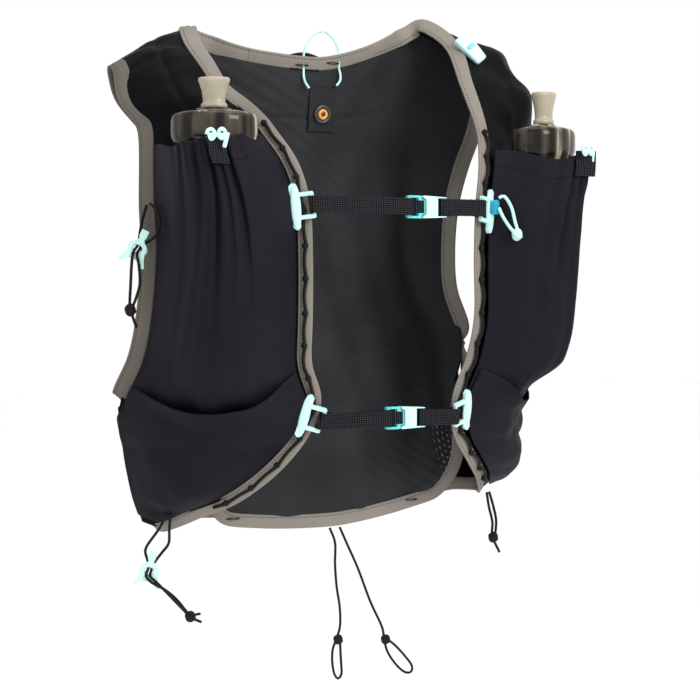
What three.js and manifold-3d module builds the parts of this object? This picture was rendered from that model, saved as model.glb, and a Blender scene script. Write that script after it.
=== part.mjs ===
// A running hydration vest, as worn: a mesh back, two front panels with flask pockets, rail
// sliders with two sternum straps, and soft flasks. Millimetres, +Z up, the wearer faces -Y,
// and the origin is the middle of the neck edge at the nape. Side 1 is the wearer's left.
import * as THREE from "three";
import { mergeVertices } from "three/addons/utils/BufferGeometryUtils.js";
import Module from "manifold-3d";

const wasm = await Module();
wasm.setup();

// Body of the vest
const vestDrop = 370; // nape to hem
const bodyHalf = 180; // middle to flank
const chestDepth = 122; // nape to the front edges at the chest
const panelBulge = 15; // rise of a front panel between its edges
const wingBulge = 24; // how far the flank sheet swings out behind the arm

// Cloth, tape and the gaps between sewn pieces
const meshCloth = 1.6;
const pocketCloth = 1.2;
const tapeWidth = 11;
const armTapeWidth = 13;
const tapeThick = 3;
const gap = 0.3;
const seamGap = 0.6;
const layerGap = 0.7;

// The shoulders hang a little crooked: all cloth above slumpLow leans to the wearer's right.
const slumpLow = -65;
const slumpFull = -20;
const slumpShift = 9;
const slumpTilt = 0.09;
const slumpReach = 90;
// Below hemTiltTop the hem rises a little towards the wearer's left.
const hemTiltTop = -290;
const hemTilt = 0.06;

// Pockets
const bottleDepth = 66; // how far a flask pocket stands off the panel
const lowerDepth = 19; // the same for a lower pocket
const pouchDepth = 15; // the back pouch
const pleatDepth = 4;

// Flasks
const flaskHalfWidth = 31.3;
const flaskHalfDepth = 23;
const flaskWall = 1;
const flaskTop = -52;
const flaskDrop = 180;
const flaskOut = 142;
const flaskFore = 111;
const flaskTurn = 27; // degrees that a flask faces outwards
const valveHigh = 21;
const valveHalfWidth = 11.5;
const valveHalfDepth = 8.2;

// Hardware
const webbingWidth = 12.7;
const webbingThick = 1.4;
const railRadius = 1.3;
const sliderLong = 34;
const sliderBarWide = 5.5;
const sliderThick = 2.4;
const sliderReach = 9;
const buckleHigh = 17;
const buckleThick = 7;
const plugThick = 3.4;
const buckleBar = 3.4;
const cordRadius = 1.1;
const hemCordRadius = 1;
const mintCordRadius = 1;
const knotRadius = 3.6;
const hookLong = 27;
const hookThick = 3.2;
const portRadius = 8;
const whistleLong = 29;
const whistleThick = 6;

// Colours and finishes
const finish = (color, roughness, metalness = 0) => ({ color, roughness, metalness });
const FINISHES = {
  mesh: finish(0x2e2f31, 0.85),
  pocket: finish(0x28272e, 0.7),
  tape: finish(0xa39d95, 0.8),
  cord: finish(0x1d1d1f, 0.75),
  webbing: finish(0x1a1a1c, 0.8),
  mint: finish(0xc8f0ea, 0.35),
  teal: finish(0x4fbfc1, 0.35),
  mintCord: finish(0xbfeee6, 0.7),
  smoke: finish(0x5a5448, 0.15),
  silicone: finish(0xb5ad98, 0.4),
  brass: finish(0xe0a040, 0.4),
  blue: finish(0x2f9fc0, 0.35),
};

// A table's rows become records with one field for each named column.
const table = (columns, rows) =>
  rows.map((row) => Object.fromEntries(columns.map((name, i) => [name, row[i]])));

// Front panel, from just behind the shoulder ridge to the hem. The front edge is the middle of
// its tape, and the arm edge is the middle of the armhole tape, then the flank seam. Out, fore
// and down are shares of bodyHalf, chestDepth and vestDrop; bulge is a share of panelBulge.
const PANEL = table(
  ["frontOut", "frontFore", "frontDown", "armOut", "armFore", "armDown", "bulge"],
  [
    [0.572, -0.09, -0.06, 0.911, -0.074, 0.006, 0.05],
    [0.588, -0.02, -0.068, 0.922, -0.016, -0.016, 0.1],
    [0.622, 0.18, -0.032, 0.928, 0.115, 0, 0.4],
    [0.617, 0.369, 0.014, 0.939, 0.197, 0.043, 0.6],
    [0.567, 0.623, 0.092, 0.933, 0.287, 0.103, 0.65],
    [0.526, 0.787, 0.166, 0.933, 0.361, 0.176, 0.5],
    [0.461, 0.943, 0.242, 0.944, 0.41, 0.249, 0.33],
    [0.422, 0.992, 0.324, 0.95, 0.434, 0.324, 0.27],
    [0.413, 1, 0.432, 0.944, 0.443, 0.419, 0.27],
    [0.414, 1, 0.551, 0.956, 0.41, 0.541, 0.3],
    [0.397, 0.939, 0.641, 0.978, 0.344, 0.632, 0.45],
    [0.344, 0.914, 0.715, 1.022, 0.221, 0.714, 0.7],
    [0.382, 0.832, 0.789, 0.989, 0.139, 0.784, 0.8],
    [0.489, 0.742, 0.854, 0.961, 0.098, 0.838, 0.7],
    [0.611, 0.57, 0.908, 0.928, 0.074, 0.892, 0.45],
    [0.728, 0.311, 0.962, 0.9, 0.052, 0.941, 0.2],
    [0.811, 0.115, 0.989, 0.872, 0.041, 0.977, 0.05],
  ],
);
const armholeEnd = 11 / 16; // share of the panel's length where the armhole ends

// Back panel, from the neck edge to the hem: its middle, the line under the neck corners, and
// its edge, which is the armhole down to armholeEnd of the panel and the flank seam below.
const BACK = table(
  [
    "midFore", "midDown", "neckOut", "neckFore", "neckDown",
    "edgeOut", "edgeFore", "edgeDown",
  ],
  [
    [0, 0, 0.572, -0.09, -0.06, 0.911, -0.074, 0.006],
    [-0.025, 0.059, 0.533, -0.123, -0.008, 0.878, -0.09, 0.073],
    [-0.049, 0.122, 0.505, -0.139, 0.068, 0.828, -0.066, 0.135],
    [-0.074, 0.203, 0.472, -0.148, 0.168, 0.744, 0, 0.211],
    [-0.066, 0.297, 0.444, -0.115, 0.284, 0.65, 0.107, 0.297],
    [-0.033, 0.392, 0.422, -0.066, 0.392, 0.606, 0.164, 0.392],
    [0.016, 0.486, 0.422, 0, 0.486, 0.606, 0.19, 0.492],
    [0.074, 0.581, 0.44, 0.049, 0.578, 0.672, 0.2, 0.581],
    [0.123, 0.676, 0.444, 0.098, 0.676, 0.678, 0.2, 0.676],
    [0.164, 0.77, 0.433, 0.139, 0.77, 0.672, 0.2, 0.77],
    [0.197, 0.865, 0.411, 0.172, 0.859, 0.65, 0.205, 0.854],
    [0.221, 0.946, 0.372, 0.193, 0.935, 0.606, 0.205, 0.914],
    [0.23, 0.989, 0.333, 0.197, 0.977, 0.544, 0.18, 0.962],
  ],
);
const neckShare = 0.6; // share of the half back that the neck line takes
const wingTopShare = 7 / 12; // share of the back's length where the flank sheet joins it

// Flask pocket: how its depth falls from the rim to the foot, at shares of the panel's length
const BOTTLE_LENGTH = table(
  ["down", "depth"],
  [
    [0.358, 1], [0.392, 0.98], [0.469, 0.93], [0.541, 0.86], [0.602, 0.76], [0.632, 0.64],
    [0.659, 0.48], [0.681, 0.34], [0.7, 0.22], [0.718, 0.12], [0.737, 0.02],
  ],
);
const BOTTLE_SECTION = table(
  ["across", "depth"],
  [[0, 0], [0.1, 0.5], [0.22, 0.84], [0.4, 1], [0.6, 0.84], [0.8, 0.48], [0.92, 0.2], [1, 0]],
);
// Two pleats run down from the rim tab and soft folds rise beside them.
const PLEATS = table(
  ["rim", "foot", "wide", "depth"],
  [
    [0.3, 0.22, 0.035, 1],
    [0.5, 0.47, 0.035, 0.8],
    [0.7, 0.66, 0.05, 0.5],
  ],
);
// Lower pocket: its rim dips towards the middle, and its depth falls to the hem.
const LOWER_RIM = table(
  ["across", "down"],
  [[0, 0.636], [0.2, 0.677], [0.4, 0.698], [0.6, 0.696], [0.8, 0.682], [1, 0.666]],
);
const LOWER_LENGTH = table(
  ["down", "depth"],
  [
    [0.632, 2.6], [0.659, 2.05], [0.681, 1.5], [0.7, 1.15], [0.748, 0.95], [0.797, 0.87],
    [0.841, 0.73], [0.881, 0.48], [0.919, 0.2], [0.965, 0.03],
  ],
);
const LOWER_SECTION = table(
  ["across", "depth"],
  [[0, 0], [0.12, 0.62], [0.28, 0.98], [0.45, 1.02], [0.62, 0.86], [0.8, 0.54], [1, 0]],
);
const lowerFoot = 0.962;

// Sternum straps: share of the panel's length, and where the buckle's bar stands
const UPPER_STRAP = { down: 0.44, plugAt: 6 };
const LOWER_STRAP = { down: 0.712, plugAt: -4 };

// Small mathematics
const clamp = (x, low, high) => Math.min(high, Math.max(low, x));
const mix = (a, b, t) => a + (b - a) * t;
const smooth = (t) => {
  const c = clamp(t, 0, 1);
  return c * c * (3 - 2 * c);
};
const vec = (x, y, z) => new THREE.Vector3(x, y, z);

// One column of a table at a share of its length, on a smooth curve through its rows.
function flow(rows, name, share) {
  const last = rows.length - 1;
  const place = clamp(share, 0, 1) * last;
  const i = Math.min(Math.floor(place), last - 1);
  const f = place - i;
  const b = rows[i][name];
  const c = rows[i + 1][name];
  const a = i > 0 ? rows[i - 1][name] : 2 * b - c;
  const d = i + 2 <= last ? rows[i + 2][name] : 2 * c - b;
  return b + 0.5 * f * (c - a + f * (2 * a - 5 * b + 4 * c - d + f * (3 * (b - c) + d - a)));
}

// The same for a table whose rows stand at uneven places of a key column.
function read(rows, key, name, at) {
  const last = rows.length - 1;
  let i = 0;
  while (i < last - 1 && at > rows[i + 1][key]) i += 1;
  const t = clamp((at - rows[i][key]) / (rows[i + 1][key] - rows[i][key]), 0, 1);
  return flow(rows, name, (i + t) / last);
}

const placeOf = (rows, name, share) =>
  vec(
    flow(rows, `${name}Out`, share) * bodyHalf,
    -flow(rows, `${name}Fore`, share) * chestDepth,
    -flow(rows, `${name}Down`, share) * vestDrop,
  );

// Outward normal of a surface at (u, v), where u runs outwards and v runs down.
function normalOf(surface, u, v) {
  const e = 0.004;
  const du = surface(u + e, v).sub(surface(u - e, v));
  const dv = surface(u, Math.min(v + e, 1)).sub(surface(u, Math.max(v - e, 0)));
  return dv.cross(du).normalize();
}

// Front panel: a chord between its two edges with a low bulge, for the wearer's left side.
function panelFrame(v) {
  const front = placeOf(PANEL, "front", v);
  const across = placeOf(PANEL, "arm", v).sub(front);
  const e = 0.01;
  const ahead = Math.min(v + e, 1);
  const behind = Math.max(v - e, 0);
  const middle = (t) => placeOf(PANEL, "front", t).add(placeOf(PANEL, "arm", t));
  const down = middle(ahead).sub(middle(behind));
  return { front, across, width: across.length(), out: down.cross(across).normalize() };
}

function panelSurface(u, v) {
  const { front, across, out } = panelFrame(v);
  const rise = flow(PANEL, "bulge", v) * panelBulge * Math.sin(Math.PI * clamp(u, 0, 1));
  return front.addScaledVector(across, u).addScaledVector(out, rise);
}

// Share of the panel's width that a distance square to its edge takes, at either edge.
function panelInset(v, distance, edge) {
  const { across, width } = panelFrame(v);
  const e = 0.01;
  const name = edge === "front" ? "front" : "arm";
  const tangent = placeOf(PANEL, name, Math.min(v + e, 1)).sub(
    placeOf(PANEL, name, Math.max(v - e, 0)),
  );
  const slant = across.clone().normalize().cross(tangent.normalize()).length();
  return distance / (width * Math.max(slant, 0.35));
}

// Back panel: u is -1 to 1 across, v runs down.
function backSurface(u, v) {
  const side = Math.sign(u) || 1;
  const s = Math.abs(u);
  const mid = vec(0, -flow(BACK, "midFore", v) * chestDepth, -flow(BACK, "midDown", v) * vestDrop);
  const neck = placeOf(BACK, "neck", v);
  const edge = placeOf(BACK, "edge", v);
  const a = s / neckShare;
  if (s <= neckShare) {
    return vec(side * neck.x * a, mix(mid.y, neck.y, a * a), mix(mid.z, neck.z, a ** 1.5));
  }
  const t = (s - neckShare) / (1 - neckShare);
  const slope = (2 * (neck.y - mid.y) * (1 - neckShare)) / neckShare;
  const curve = neck.y + slope * t + (edge.y - neck.y - slope) * t * t;
  const y = mix(mix(neck.y, edge.y, t), curve, clamp(v * 4, 0, 1));
  return vec(side * mix(neck.x, edge.x, t), y, mix(neck.z, edge.z, t));
}

// Flank sheet behind the arm: from the panel's seam to the back panel's outer face.
function wingSurface(u, v) {
  const seam = placeOf(PANEL, "arm", mix(armholeEnd, 1, v));
  const backShare = mix(wingTopShare, 0.955, v);
  const inset = 0.93;
  const back = backSurface(inset, backShare);
  const lift = meshCloth + layerGap;
  back.addScaledVector(normalOf(backSurface, inset, backShare), -lift);
  const swing = Math.sin(Math.PI * clamp(u, 0, 1));
  const point = seam.lerp(back, u);
  point.y += wingBulge * swing * mix(1, 0.35, v);
  point.z -= wingBulge * 0.4 * swing * (1 - v);
  return point;
}

// Cloth above the chest leans: the worn place of a point, on either side of the body.
function worn(point, side) {
  const x = point.x * side;
  const share = smooth((point.z - slumpLow) / (slumpFull - slumpLow));
  const reach = smooth(Math.abs(x) / slumpReach);
  const low = smooth((hemTiltTop - point.z) / (hemTiltTop + vestDrop));
  const tilt = slumpTilt * share + hemTilt * low;
  return vec(x - slumpShift * share * reach, point.y, point.z + tilt * x);
}

// Geometry from points and faces, turned outwards.
function bodyOf(points, faces) {
  let volume = 0;
  for (const [a, b, c] of faces) {
    volume += points[a].dot(points[b].clone().cross(points[c]));
  }
  const turned = volume < 0 ? faces.map(([a, b, c]) => [a, c, b]) : faces;
  const geometry = new THREE.BufferGeometry();
  const numbers = points.flatMap((p) => [p.x, p.y, p.z]);
  geometry.setAttribute("position", new THREE.Float32BufferAttribute(numbers, 3));
  geometry.setIndex(turned.flat());
  geometry.computeVertexNormals();
  return geometry;
}

// A closed body lofted through rings of points, with flat ends or joined into a loop.
function loft(rings, closed = false) {
  const sides = rings[0].length;
  const points = rings.flat();
  const faces = [];
  const spans = closed ? rings.length : rings.length - 1;
  for (let j = 0; j < spans; j += 1) {
    const low = j * sides;
    const high = ((j + 1) % rings.length) * sides;
    for (let i = 0; i < sides; i += 1) {
      const k = (i + 1) % sides;
      faces.push([low + i, low + k, high + k], [low + i, high + k, high + i]);
    }
  }
  if (!closed) {
    const last = (rings.length - 1) * sides;
    for (let i = 1; i < sides - 1; i += 1) {
      faces.push([0, i + 1, i], [last, last + i, last + i + 1]);
    }
  }
  return bodyOf(points, faces);
}

// A sheet of cloth: a grid on a surface with a thickness. place(a, b) gives point and normal.
function sheet(place, across, length, thick) {
  const outer = [];
  const inner = [];
  for (let j = 0; j <= length; j += 1) {
    for (let i = 0; i <= across; i += 1) {
      const { point, normal } = place(i / across, j / length);
      outer.push(point.clone().addScaledVector(normal, thick / 2));
      inner.push(point.clone().addScaledVector(normal, -thick / 2));
    }
  }
  const count = outer.length;
  const at = (i, j) => j * (across + 1) + i;
  const faces = [];
  const quad = (a, b, c, d) => faces.push([a, b, c], [a, c, d]);
  for (let j = 0; j < length; j += 1) {
    for (let i = 0; i < across; i += 1) {
      const [a, b, c, d] = [at(i, j), at(i + 1, j), at(i + 1, j + 1), at(i, j + 1)];
      quad(a, b, c, d);
      quad(count + d, count + c, count + b, count + a);
    }
  }
  for (let i = 0; i < across; i += 1) {
    quad(count + at(i, 0), count + at(i + 1, 0), at(i + 1, 0), at(i, 0));
    quad(at(i, length), at(i + 1, length), count + at(i + 1, length), count + at(i, length));
  }
  for (let j = 0; j < length; j += 1) {
    quad(at(0, j), at(0, j + 1), count + at(0, j + 1), count + at(0, j));
    quad(count + at(across, j), count + at(across, j + 1), at(across, j + 1), at(across, j));
  }
  return { points: [...outer, ...inner], faces };
}

// A sheet on the body, worn on a side.
function wornSheet(place, across, length, thick, side) {
  const { points, faces } = sheet(place, across, length, thick);
  return bodyOf(points.map((p) => worn(p, side)), faces);
}

// Tape or webbing along a path of points and normals. Corners are mitred.
function tape(path, width, thick, { closed = false, side = 1, widths = null } = {}) {
  const count = path.length;
  const rings = path.map(({ point, normal }, k) => {
    const before = path[closed ? (k - 1 + count) % count : Math.max(k - 1, 0)].point;
    const after = path[closed ? (k + 1) % count : Math.min(k + 1, count - 1)].point;
    const tangent = after.clone().sub(before).normalize();
    const into = point.clone().sub(before);
    const spread = into.length() > 0.01 ? Math.abs(into.normalize().dot(tangent)) : 1;
    const across = widths
      ? widths[k].clone().normalize()
      : tangent.clone().cross(normal).normalize();
    const up = widths ? across.clone().cross(tangent).normalize() : normal.clone();
    const half = width / 2 / (widths ? 1 : Math.max(spread, 0.7));
    const corner = (a, b) =>
      point.clone().addScaledVector(across, a * half).addScaledVector(up, (b * thick) / 2);
    return [corner(-1, -1), corner(1, -1), corner(1, 1), corner(-1, 1)].map((p) =>
      side === 0 ? p : worn(p, side),
    );
  });
  return loft(rings, closed);
}

// Round cord along a smooth curve through chosen points.
function cord(points, radius, { steps = null, sides = 8 } = {}) {
  const curve = new THREE.CatmullRomCurve3(points, false, "centripetal");
  const count = steps ?? Math.max(4, Math.round(curve.getLength() / (radius * 6)));
  const circle = new THREE.Shape();
  for (let i = 0; i <= sides; i += 1) {
    const turn = (i / sides) * Math.PI * 2;
    const corner = [radius * Math.cos(turn), radius * Math.sin(turn)];
    if (i === 0) circle.moveTo(...corner);
    else circle.lineTo(...corner);
  }
  return new THREE.ExtrudeGeometry(circle, {
    steps: count,
    extrudePath: curve,
    bevelEnabled: false,
  });
}

// An outline as a Shape, with round corners where a radius is given.
function outline(points, round = 0) {
  const shape = new THREE.Shape();
  points.forEach(([x, y], i) => {
    const [px, py] = points[(i - 1 + points.length) % points.length];
    const [nx, ny] = points[(i + 1) % points.length];
    const toBefore = new THREE.Vector2(px - x, py - y);
    const toAfter = new THREE.Vector2(nx - x, ny - y);
    const cut = Math.min(round, toBefore.length() / 2.1, toAfter.length() / 2.1);
    const a = toBefore.setLength(cut);
    const b = toAfter.setLength(cut);
    if (i === 0) shape.moveTo(x + a.x, y + a.y);
    else shape.lineTo(x + a.x, y + a.y);
    if (cut > 0) shape.quadraticCurveTo(x, y, x + b.x, y + b.y);
  });
  shape.closePath();
  return shape;
}

const rectangle = (x0, y0, x1, y1) => [[x0, y0], [x1, y0], [x1, y1], [x0, y1]];

function plate(shape, z0, z1, curveSegments = 2) {
  const geometry = new THREE.ExtrudeGeometry(shape, {
    depth: z1 - z0,
    bevelEnabled: false,
    curveSegments,
  });
  return geometry.translate(0, 0, z0);
}

const box = (x0, y0, z0, x1, y1, z1) =>
  new THREE.BoxGeometry(x1 - x0, y1 - y0, z1 - z0).translate(
    (x0 + x1) / 2,
    (y0 + y1) / 2,
    (z0 + z1) / 2,
  );

// Solids joined and cut
function solidOf(geometry) {
  const bare = geometry.clone();
  for (const name of Object.keys(bare.attributes)) {
    if (name !== "position") bare.deleteAttribute(name);
  }
  const merged = mergeVertices(bare, 1e-3);
  return new wasm.Manifold(
    new wasm.Mesh({
      numProp: 3,
      vertProperties: new Float32Array(merged.attributes.position.array),
      triVerts: new Uint32Array(merged.index.array),
    }),
  );
}

function geometryOf(solid) {
  const mesh = solid.getMesh();
  const geometry = new THREE.BufferGeometry();
  geometry.setAttribute("position", new THREE.BufferAttribute(mesh.vertProperties, 3));
  geometry.setIndex(new THREE.BufferAttribute(mesh.triVerts, 1));
  geometry.computeVertexNormals();
  return geometry;
}

const joined = (...parts) => geometryOf(parts.map(solidOf).reduce((a, b) => a.add(b)));
const cut = (body, ...tools) =>
  geometryOf(tools.map(solidOf).reduce((a, b) => a.subtract(b), solidOf(body)));

// A geometry moved into a frame of three axes, then to a side of the body.
function seat(geometry, origin, xAxis, yAxis, zAxis, side = 1) {
  const frame = new THREE.Matrix4().makeBasis(xAxis, yAxis, zAxis).setPosition(origin);
  return onSide(geometry.clone().applyMatrix4(frame), side);
}

function onSide(geometry, side) {
  if (side > 0) return geometry;
  const plain = geometry.index ? geometry.toNonIndexed() : geometry.clone();
  const place = plain.attributes.position;
  for (let i = 0; i < place.count; i += 3) {
    const corners = [0, 1, 2].map((k) =>
      vec(-place.getX(i + k), place.getY(i + k), place.getZ(i + k)),
    );
    [corners[0], corners[2], corners[1]].forEach((p, k) => place.setXYZ(i + k, p.x, p.y, p.z));
  }
  return plain;
}

const vest = new THREE.Group();
function add(name, geometry, kind) {
  const mesh = new THREE.Mesh(geometry, new THREE.MeshStandardMaterial(FINISHES[kind]));
  mesh.name = name;
  vest.add(mesh);
  return mesh;
}

const SIDES = [
  { side: -1, suffix: "right" },
  { side: 1, suffix: "left" },
];

// Edges of the sheets stop short of the middle of their tapes.
const tapeRoom = tapeWidth / 2 + seamGap;
const neckRoom = tapeRoom + 0.4;
const armRoom = armTapeWidth / 2 + seamGap;
const backEdgeRoom = (v) => {
  const e = 0.01;
  const tangent = backSurface(1, Math.min(v + e, 1)).sub(backSurface(1, Math.max(v - e, 0)));
  const across = backSurface(1, v).sub(backSurface(0.9, v));
  const slant = across.clone().normalize().cross(tangent.normalize()).length();
  const seamStart = wingTopShare + 0.06;
  const seamEnd = 0.78;
  const onSeam = v > seamStart && v < seamEnd;
  const room = v <= seamStart ? armRoom : tapeRoom;
  return ((onSeam ? seamGap : room + 1.6) / (across.length() * Math.max(slant, 0.4))) * 0.1;
};

function panelAcross(v) {
  const ridgeRoom = 3 * (1 - smooth(v / 0.1));
  const start = panelInset(v, tapeRoom + 0.5 + ridgeRoom, "front");
  const fade = smooth((v - armholeEnd - 0.015) / 0.03);
  const end = mix(panelInset(v, armRoom, "arm"), panelInset(v, 1, "arm"), fade);
  return { start, end: 1 - end };
}

// Front panels and their tapes
const panelRows = 20;
const panelTop = 0.012;

function buildFrontPanel(side, suffix) {
  const place = (a, b) => {
    const v = mix(panelTop, 1, b);
    const { start, end } = panelAcross(v);
    const u = mix(start, end, a);
    return { point: panelSurface(u, v), normal: normalOf(panelSurface, u, v) };
  };
  add(`front_panel_${suffix}`, wornSheet(place, 5, panelRows, meshCloth, side), "mesh");

  const path = [];
  for (let j = 0; j <= panelRows; j += 1) {
    const v = mix(panelTop, 1, j / panelRows);
    path.push({ point: panelSurface(0, v), normal: normalOf(panelSurface, 0.01, v) });
  }
  for (const u of [0.25, 0.5, 0.72, 0.9]) {
    const point = wingSurface(u, 1);
    point.z -= tapeRoom;
    path.push({ point, normal: normalOf(wingSurface, u, 0.98) });
  }
  add(`front_binding_${suffix}`, tape(path, tapeWidth, tapeThick, { side }), "tape");
}

function buildArmholeTape(side, suffix) {
  const path = [];
  const step = 1 / panelRows;
  for (let v = panelTop + step; v < armholeEnd; v += step) {
    path.push({ point: panelSurface(1, v), normal: normalOf(panelSurface, 0.99, v) });
  }
  for (const u of [0.12, 0.4, 0.7]) {
    path.push({ point: wingSurface(u, 0), normal: normalOf(wingSurface, u, 0.02) });
  }
  for (let k = 7; k >= 0.5; k -= 0.75) {
    const v = k / 12;
    path.push({ point: backSurface(1, v), normal: normalOf(backSurface, 0.98, v).negate() });
  }
  const shape = tape(path, armTapeWidth, tapeThick, { closed: true, side });
  add(`armhole_binding_${suffix}`, shape, "tape");
}

// Flank sheets, from the armhole to the hem
function buildWing(side, suffix) {
  const place = (a, b) => {
    const u = mix(0.02, 1, a);
    const v = mix(0.1, 0.965, b);
    return { point: wingSurface(u, v), normal: normalOf(wingSurface, u, v) };
  };
  add(`side_wing_${suffix}`, wornSheet(place, 4, 5, meshCloth, side), "mesh");
}

// Share of the back's length that a distance square to the neck edge takes.
function neckInset(s, distance) {
  const e = 0.01;
  const tangent = backSurface(s + e, 0).sub(backSurface(s - e, 0)).normalize();
  const down = backSurface(s, 0.02).sub(backSurface(s, 0));
  const slant = down.clone().normalize().cross(tangent).length();
  return (0.02 * distance) / (down.length() * Math.max(slant, 0.4));
}

// Back: the mesh panel, the neck and hem tapes, and the pouch behind
const backTop = 0.006;
const hemRoom = 0.044;

function buildBack() {
  const place = (a, b) => {
    const s = mix(-1, 1, a);
    const onNeck = smooth((neckShare + 0.1 - Math.abs(s)) / 0.05);
    const top = mix(backTop, neckInset(Math.min(Math.abs(s), neckShare), neckRoom), onNeck);
    const v = mix(top, 1 - hemRoom, b);
    const u = s * (1 - backEdgeRoom(v));
    return { point: backSurface(u, v), normal: normalOf(backSurface, u, v).negate() };
  };
  add("back_panel", wornSheet(place, 10, 12, meshCloth, 1), "mesh");

  const neck = [];
  const neckEnd = neckShare * 0.93;
  for (let k = 0; k <= 12; k += 1) {
    const u = mix(-neckEnd, neckEnd, k / 12);
    neck.push({ point: backSurface(u, 0), normal: normalOf(backSurface, u, 0.01).negate() });
  }
  add("neck_binding", tape(neck, tapeWidth, tapeThick), "tape");

  const hem = [];
  const corner = (u, v) => {
    const normal = normalOf(backSurface, u * 0.98, Math.min(v, 0.99)).negate();
    hem.push({ point: backSurface(u, v), normal });
  };
  for (const v of [0.85, 0.9, 0.95]) corner(-1, v);
  for (let k = 0; k <= 12; k += 1) corner(mix(-1, 1, k / 12), 1);
  for (const v of [0.95, 0.9, 0.85]) corner(1, v);
  add("hem_binding", tape(hem, tapeWidth, tapeThick), "tape");

  const pouchHalf = 0.8;
  const pouchPlace = (a, b) => {
    const u = mix(-pouchHalf, pouchHalf, a);
    const v = mix(0.1, 0.93, b);
    const normal = normalOf(backSurface, u, v).negate();
    const open = mix(0.4, 1, smooth(b / 0.3)) * (1 - smooth((b - 0.7) / 0.3));
    const lift = meshCloth + layerGap + 2 + pouchDepth * open * Math.sin(Math.PI * a) ** 0.7;
    return { point: backSurface(u, v).addScaledVector(normal, lift), normal };
  };
  add("back_pouch", wornSheet(pouchPlace, 7, 8, meshCloth, 1), "pocket");
}

// Pockets on the front panels
const pocketRoom = tapeRoom + 4;
const pocketLift = meshCloth / 2 + layerGap + pocketCloth / 2;

function pocketAcross(v) {
  const start = panelInset(v, pocketRoom, "front");
  const fade = smooth((v - armholeEnd) / 0.03);
  const end = mix(panelInset(v, armRoom + 1, "arm"), panelInset(v, 2, "arm"), fade);
  return { start, end: 1 - end };
}

function pocketPoint(a, v, lift, depth) {
  const { start, end } = pocketAcross(v);
  const u = mix(start, end, a);
  const { out } = panelFrame(v);
  const point = panelSurface(u, v).addScaledVector(normalOf(panelSurface, u, v), lift);
  return point.addScaledVector(out, depth);
}

const bottleRim = BOTTLE_LENGTH[0].down;
const bottleFoot = BOTTLE_LENGTH[BOTTLE_LENGTH.length - 1].down;

function bottlePoint(a, b) {
  const v = mix(bottleRim + 0.01 * Math.sin(Math.PI * a), bottleFoot, b);
  let pleats = 0;
  for (const { rim, foot, wide, depth } of PLEATS) {
    const away = (a - mix(rim, foot, b)) / wide;
    pleats += depth * Math.exp(-away * away) * (1 - 0.8 * smooth(b / 0.9));
  }
  const section = read(BOTTLE_SECTION, "across", "depth", a);
  const depth = bottleDepth * read(BOTTLE_LENGTH, "down", "depth", v) * section;
  return pocketPoint(a, v, pocketLift, Math.max(0, depth - pleatDepth * pleats * Math.min(1, section * 2)));
}

const lowerLift = pocketCloth + layerGap + 0.3;

function lowerPoint(a, b) {
  const v = mix(read(LOWER_RIM, "across", "down", a), lowerFoot, b);
  const over = lowerLift * (1 - smooth((v - bottleFoot - 0.006) / 0.04));
  const section = read(LOWER_SECTION, "across", "depth", a);
  const depth = lowerDepth * read(LOWER_LENGTH, "down", "depth", v) * section;
  return pocketPoint(a, v, pocketLift + over, depth);
}

function buildPocket(name, surface, across, length, side) {
  const place = (a, b) => ({ point: surface(a, b), normal: normalOf(surface, a, b) });
  add(name, wornSheet(place, across, length, pocketCloth, side), "pocket");
}

// Soft flask: an oval bag with a wide top and an open mouth, facing outwards a little
const flaskAxes = () => {
  const turn = THREE.MathUtils.degToRad(flaskTurn);
  return {
    wide: vec(Math.cos(turn), Math.sin(turn), 0),
    facing: vec(Math.sin(turn), -Math.cos(turn), 0),
  };
};
const flaskPlace = vec(flaskOut, -flaskFore, 0);
const FLASK = table(
  ["down", "girth"],
  [
    [0, 0.36], [0.012, 0.42], [0.04, 0.95], [0.105, 0.95], [0.135, 0.82], [0.26, 0.76],
    [0.7, 0.68], [0.93, 0.5],
  ],
);

function ovalRing(halfWidth, halfDepth, z, sides = 10) {
  const { wide, facing } = flaskAxes();
  return Array.from({ length: sides }, (_, i) => {
    const turn = (i / sides) * Math.PI * 2;
    return flaskPlace
      .clone()
      .addScaledVector(wide, halfWidth * Math.cos(turn))
      .addScaledVector(facing, -halfDepth * Math.sin(turn))
      .add(vec(0, 0, z));
  });
}

function buildFlask(side, suffix) {
  const outer = FLASK.map(({ down, girth }) =>
    ovalRing(flaskHalfWidth * girth, flaskHalfDepth * girth, flaskTop - down * flaskDrop),
  );
  const inner = FLASK.map(({ down, girth }) =>
    ovalRing(
      flaskHalfWidth * girth - flaskWall * 1.5,
      flaskHalfDepth * girth - flaskWall,
      flaskTop - down * flaskDrop - (down > 0.02 ? flaskWall : 0),
    ),
  );
  const foot = ovalRing(0.5, 0.5, flaskTop - flaskDrop);
  const floor = ovalRing(0.5, 0.5, flaskTop - flaskDrop + flaskWall);
  const shell = loft([foot, ...outer.reverse(), ...inner, floor]);
  add(`flask_${suffix}`, onSide(shell, side), "smoke");

  const w = valveHalfWidth;
  const d = valveHalfDepth;
  const rings = [
    [0.92 * w, 1.2 * d, 0], [0.92 * w, 1.2 * d, 0.16], [0.8 * w, 0.95 * d, 0.2],
    [0.79 * w, 0.92 * d, 0.5], [0.92 * w, 0.96 * d, 0.8], [w, d, 0.95], [0.96 * w, 0.94 * d, 1],
  ].map(([x, y, share]) => ovalRing(x, y, flaskTop + gap + share * valveHigh, 8));
  add(`bite_valve_${suffix}`, onSide(loft(rings), side), "silicone");
}

// Rim clip, its webbing tab and the elastic over the flask
const clipAcross = 0.34;

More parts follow.
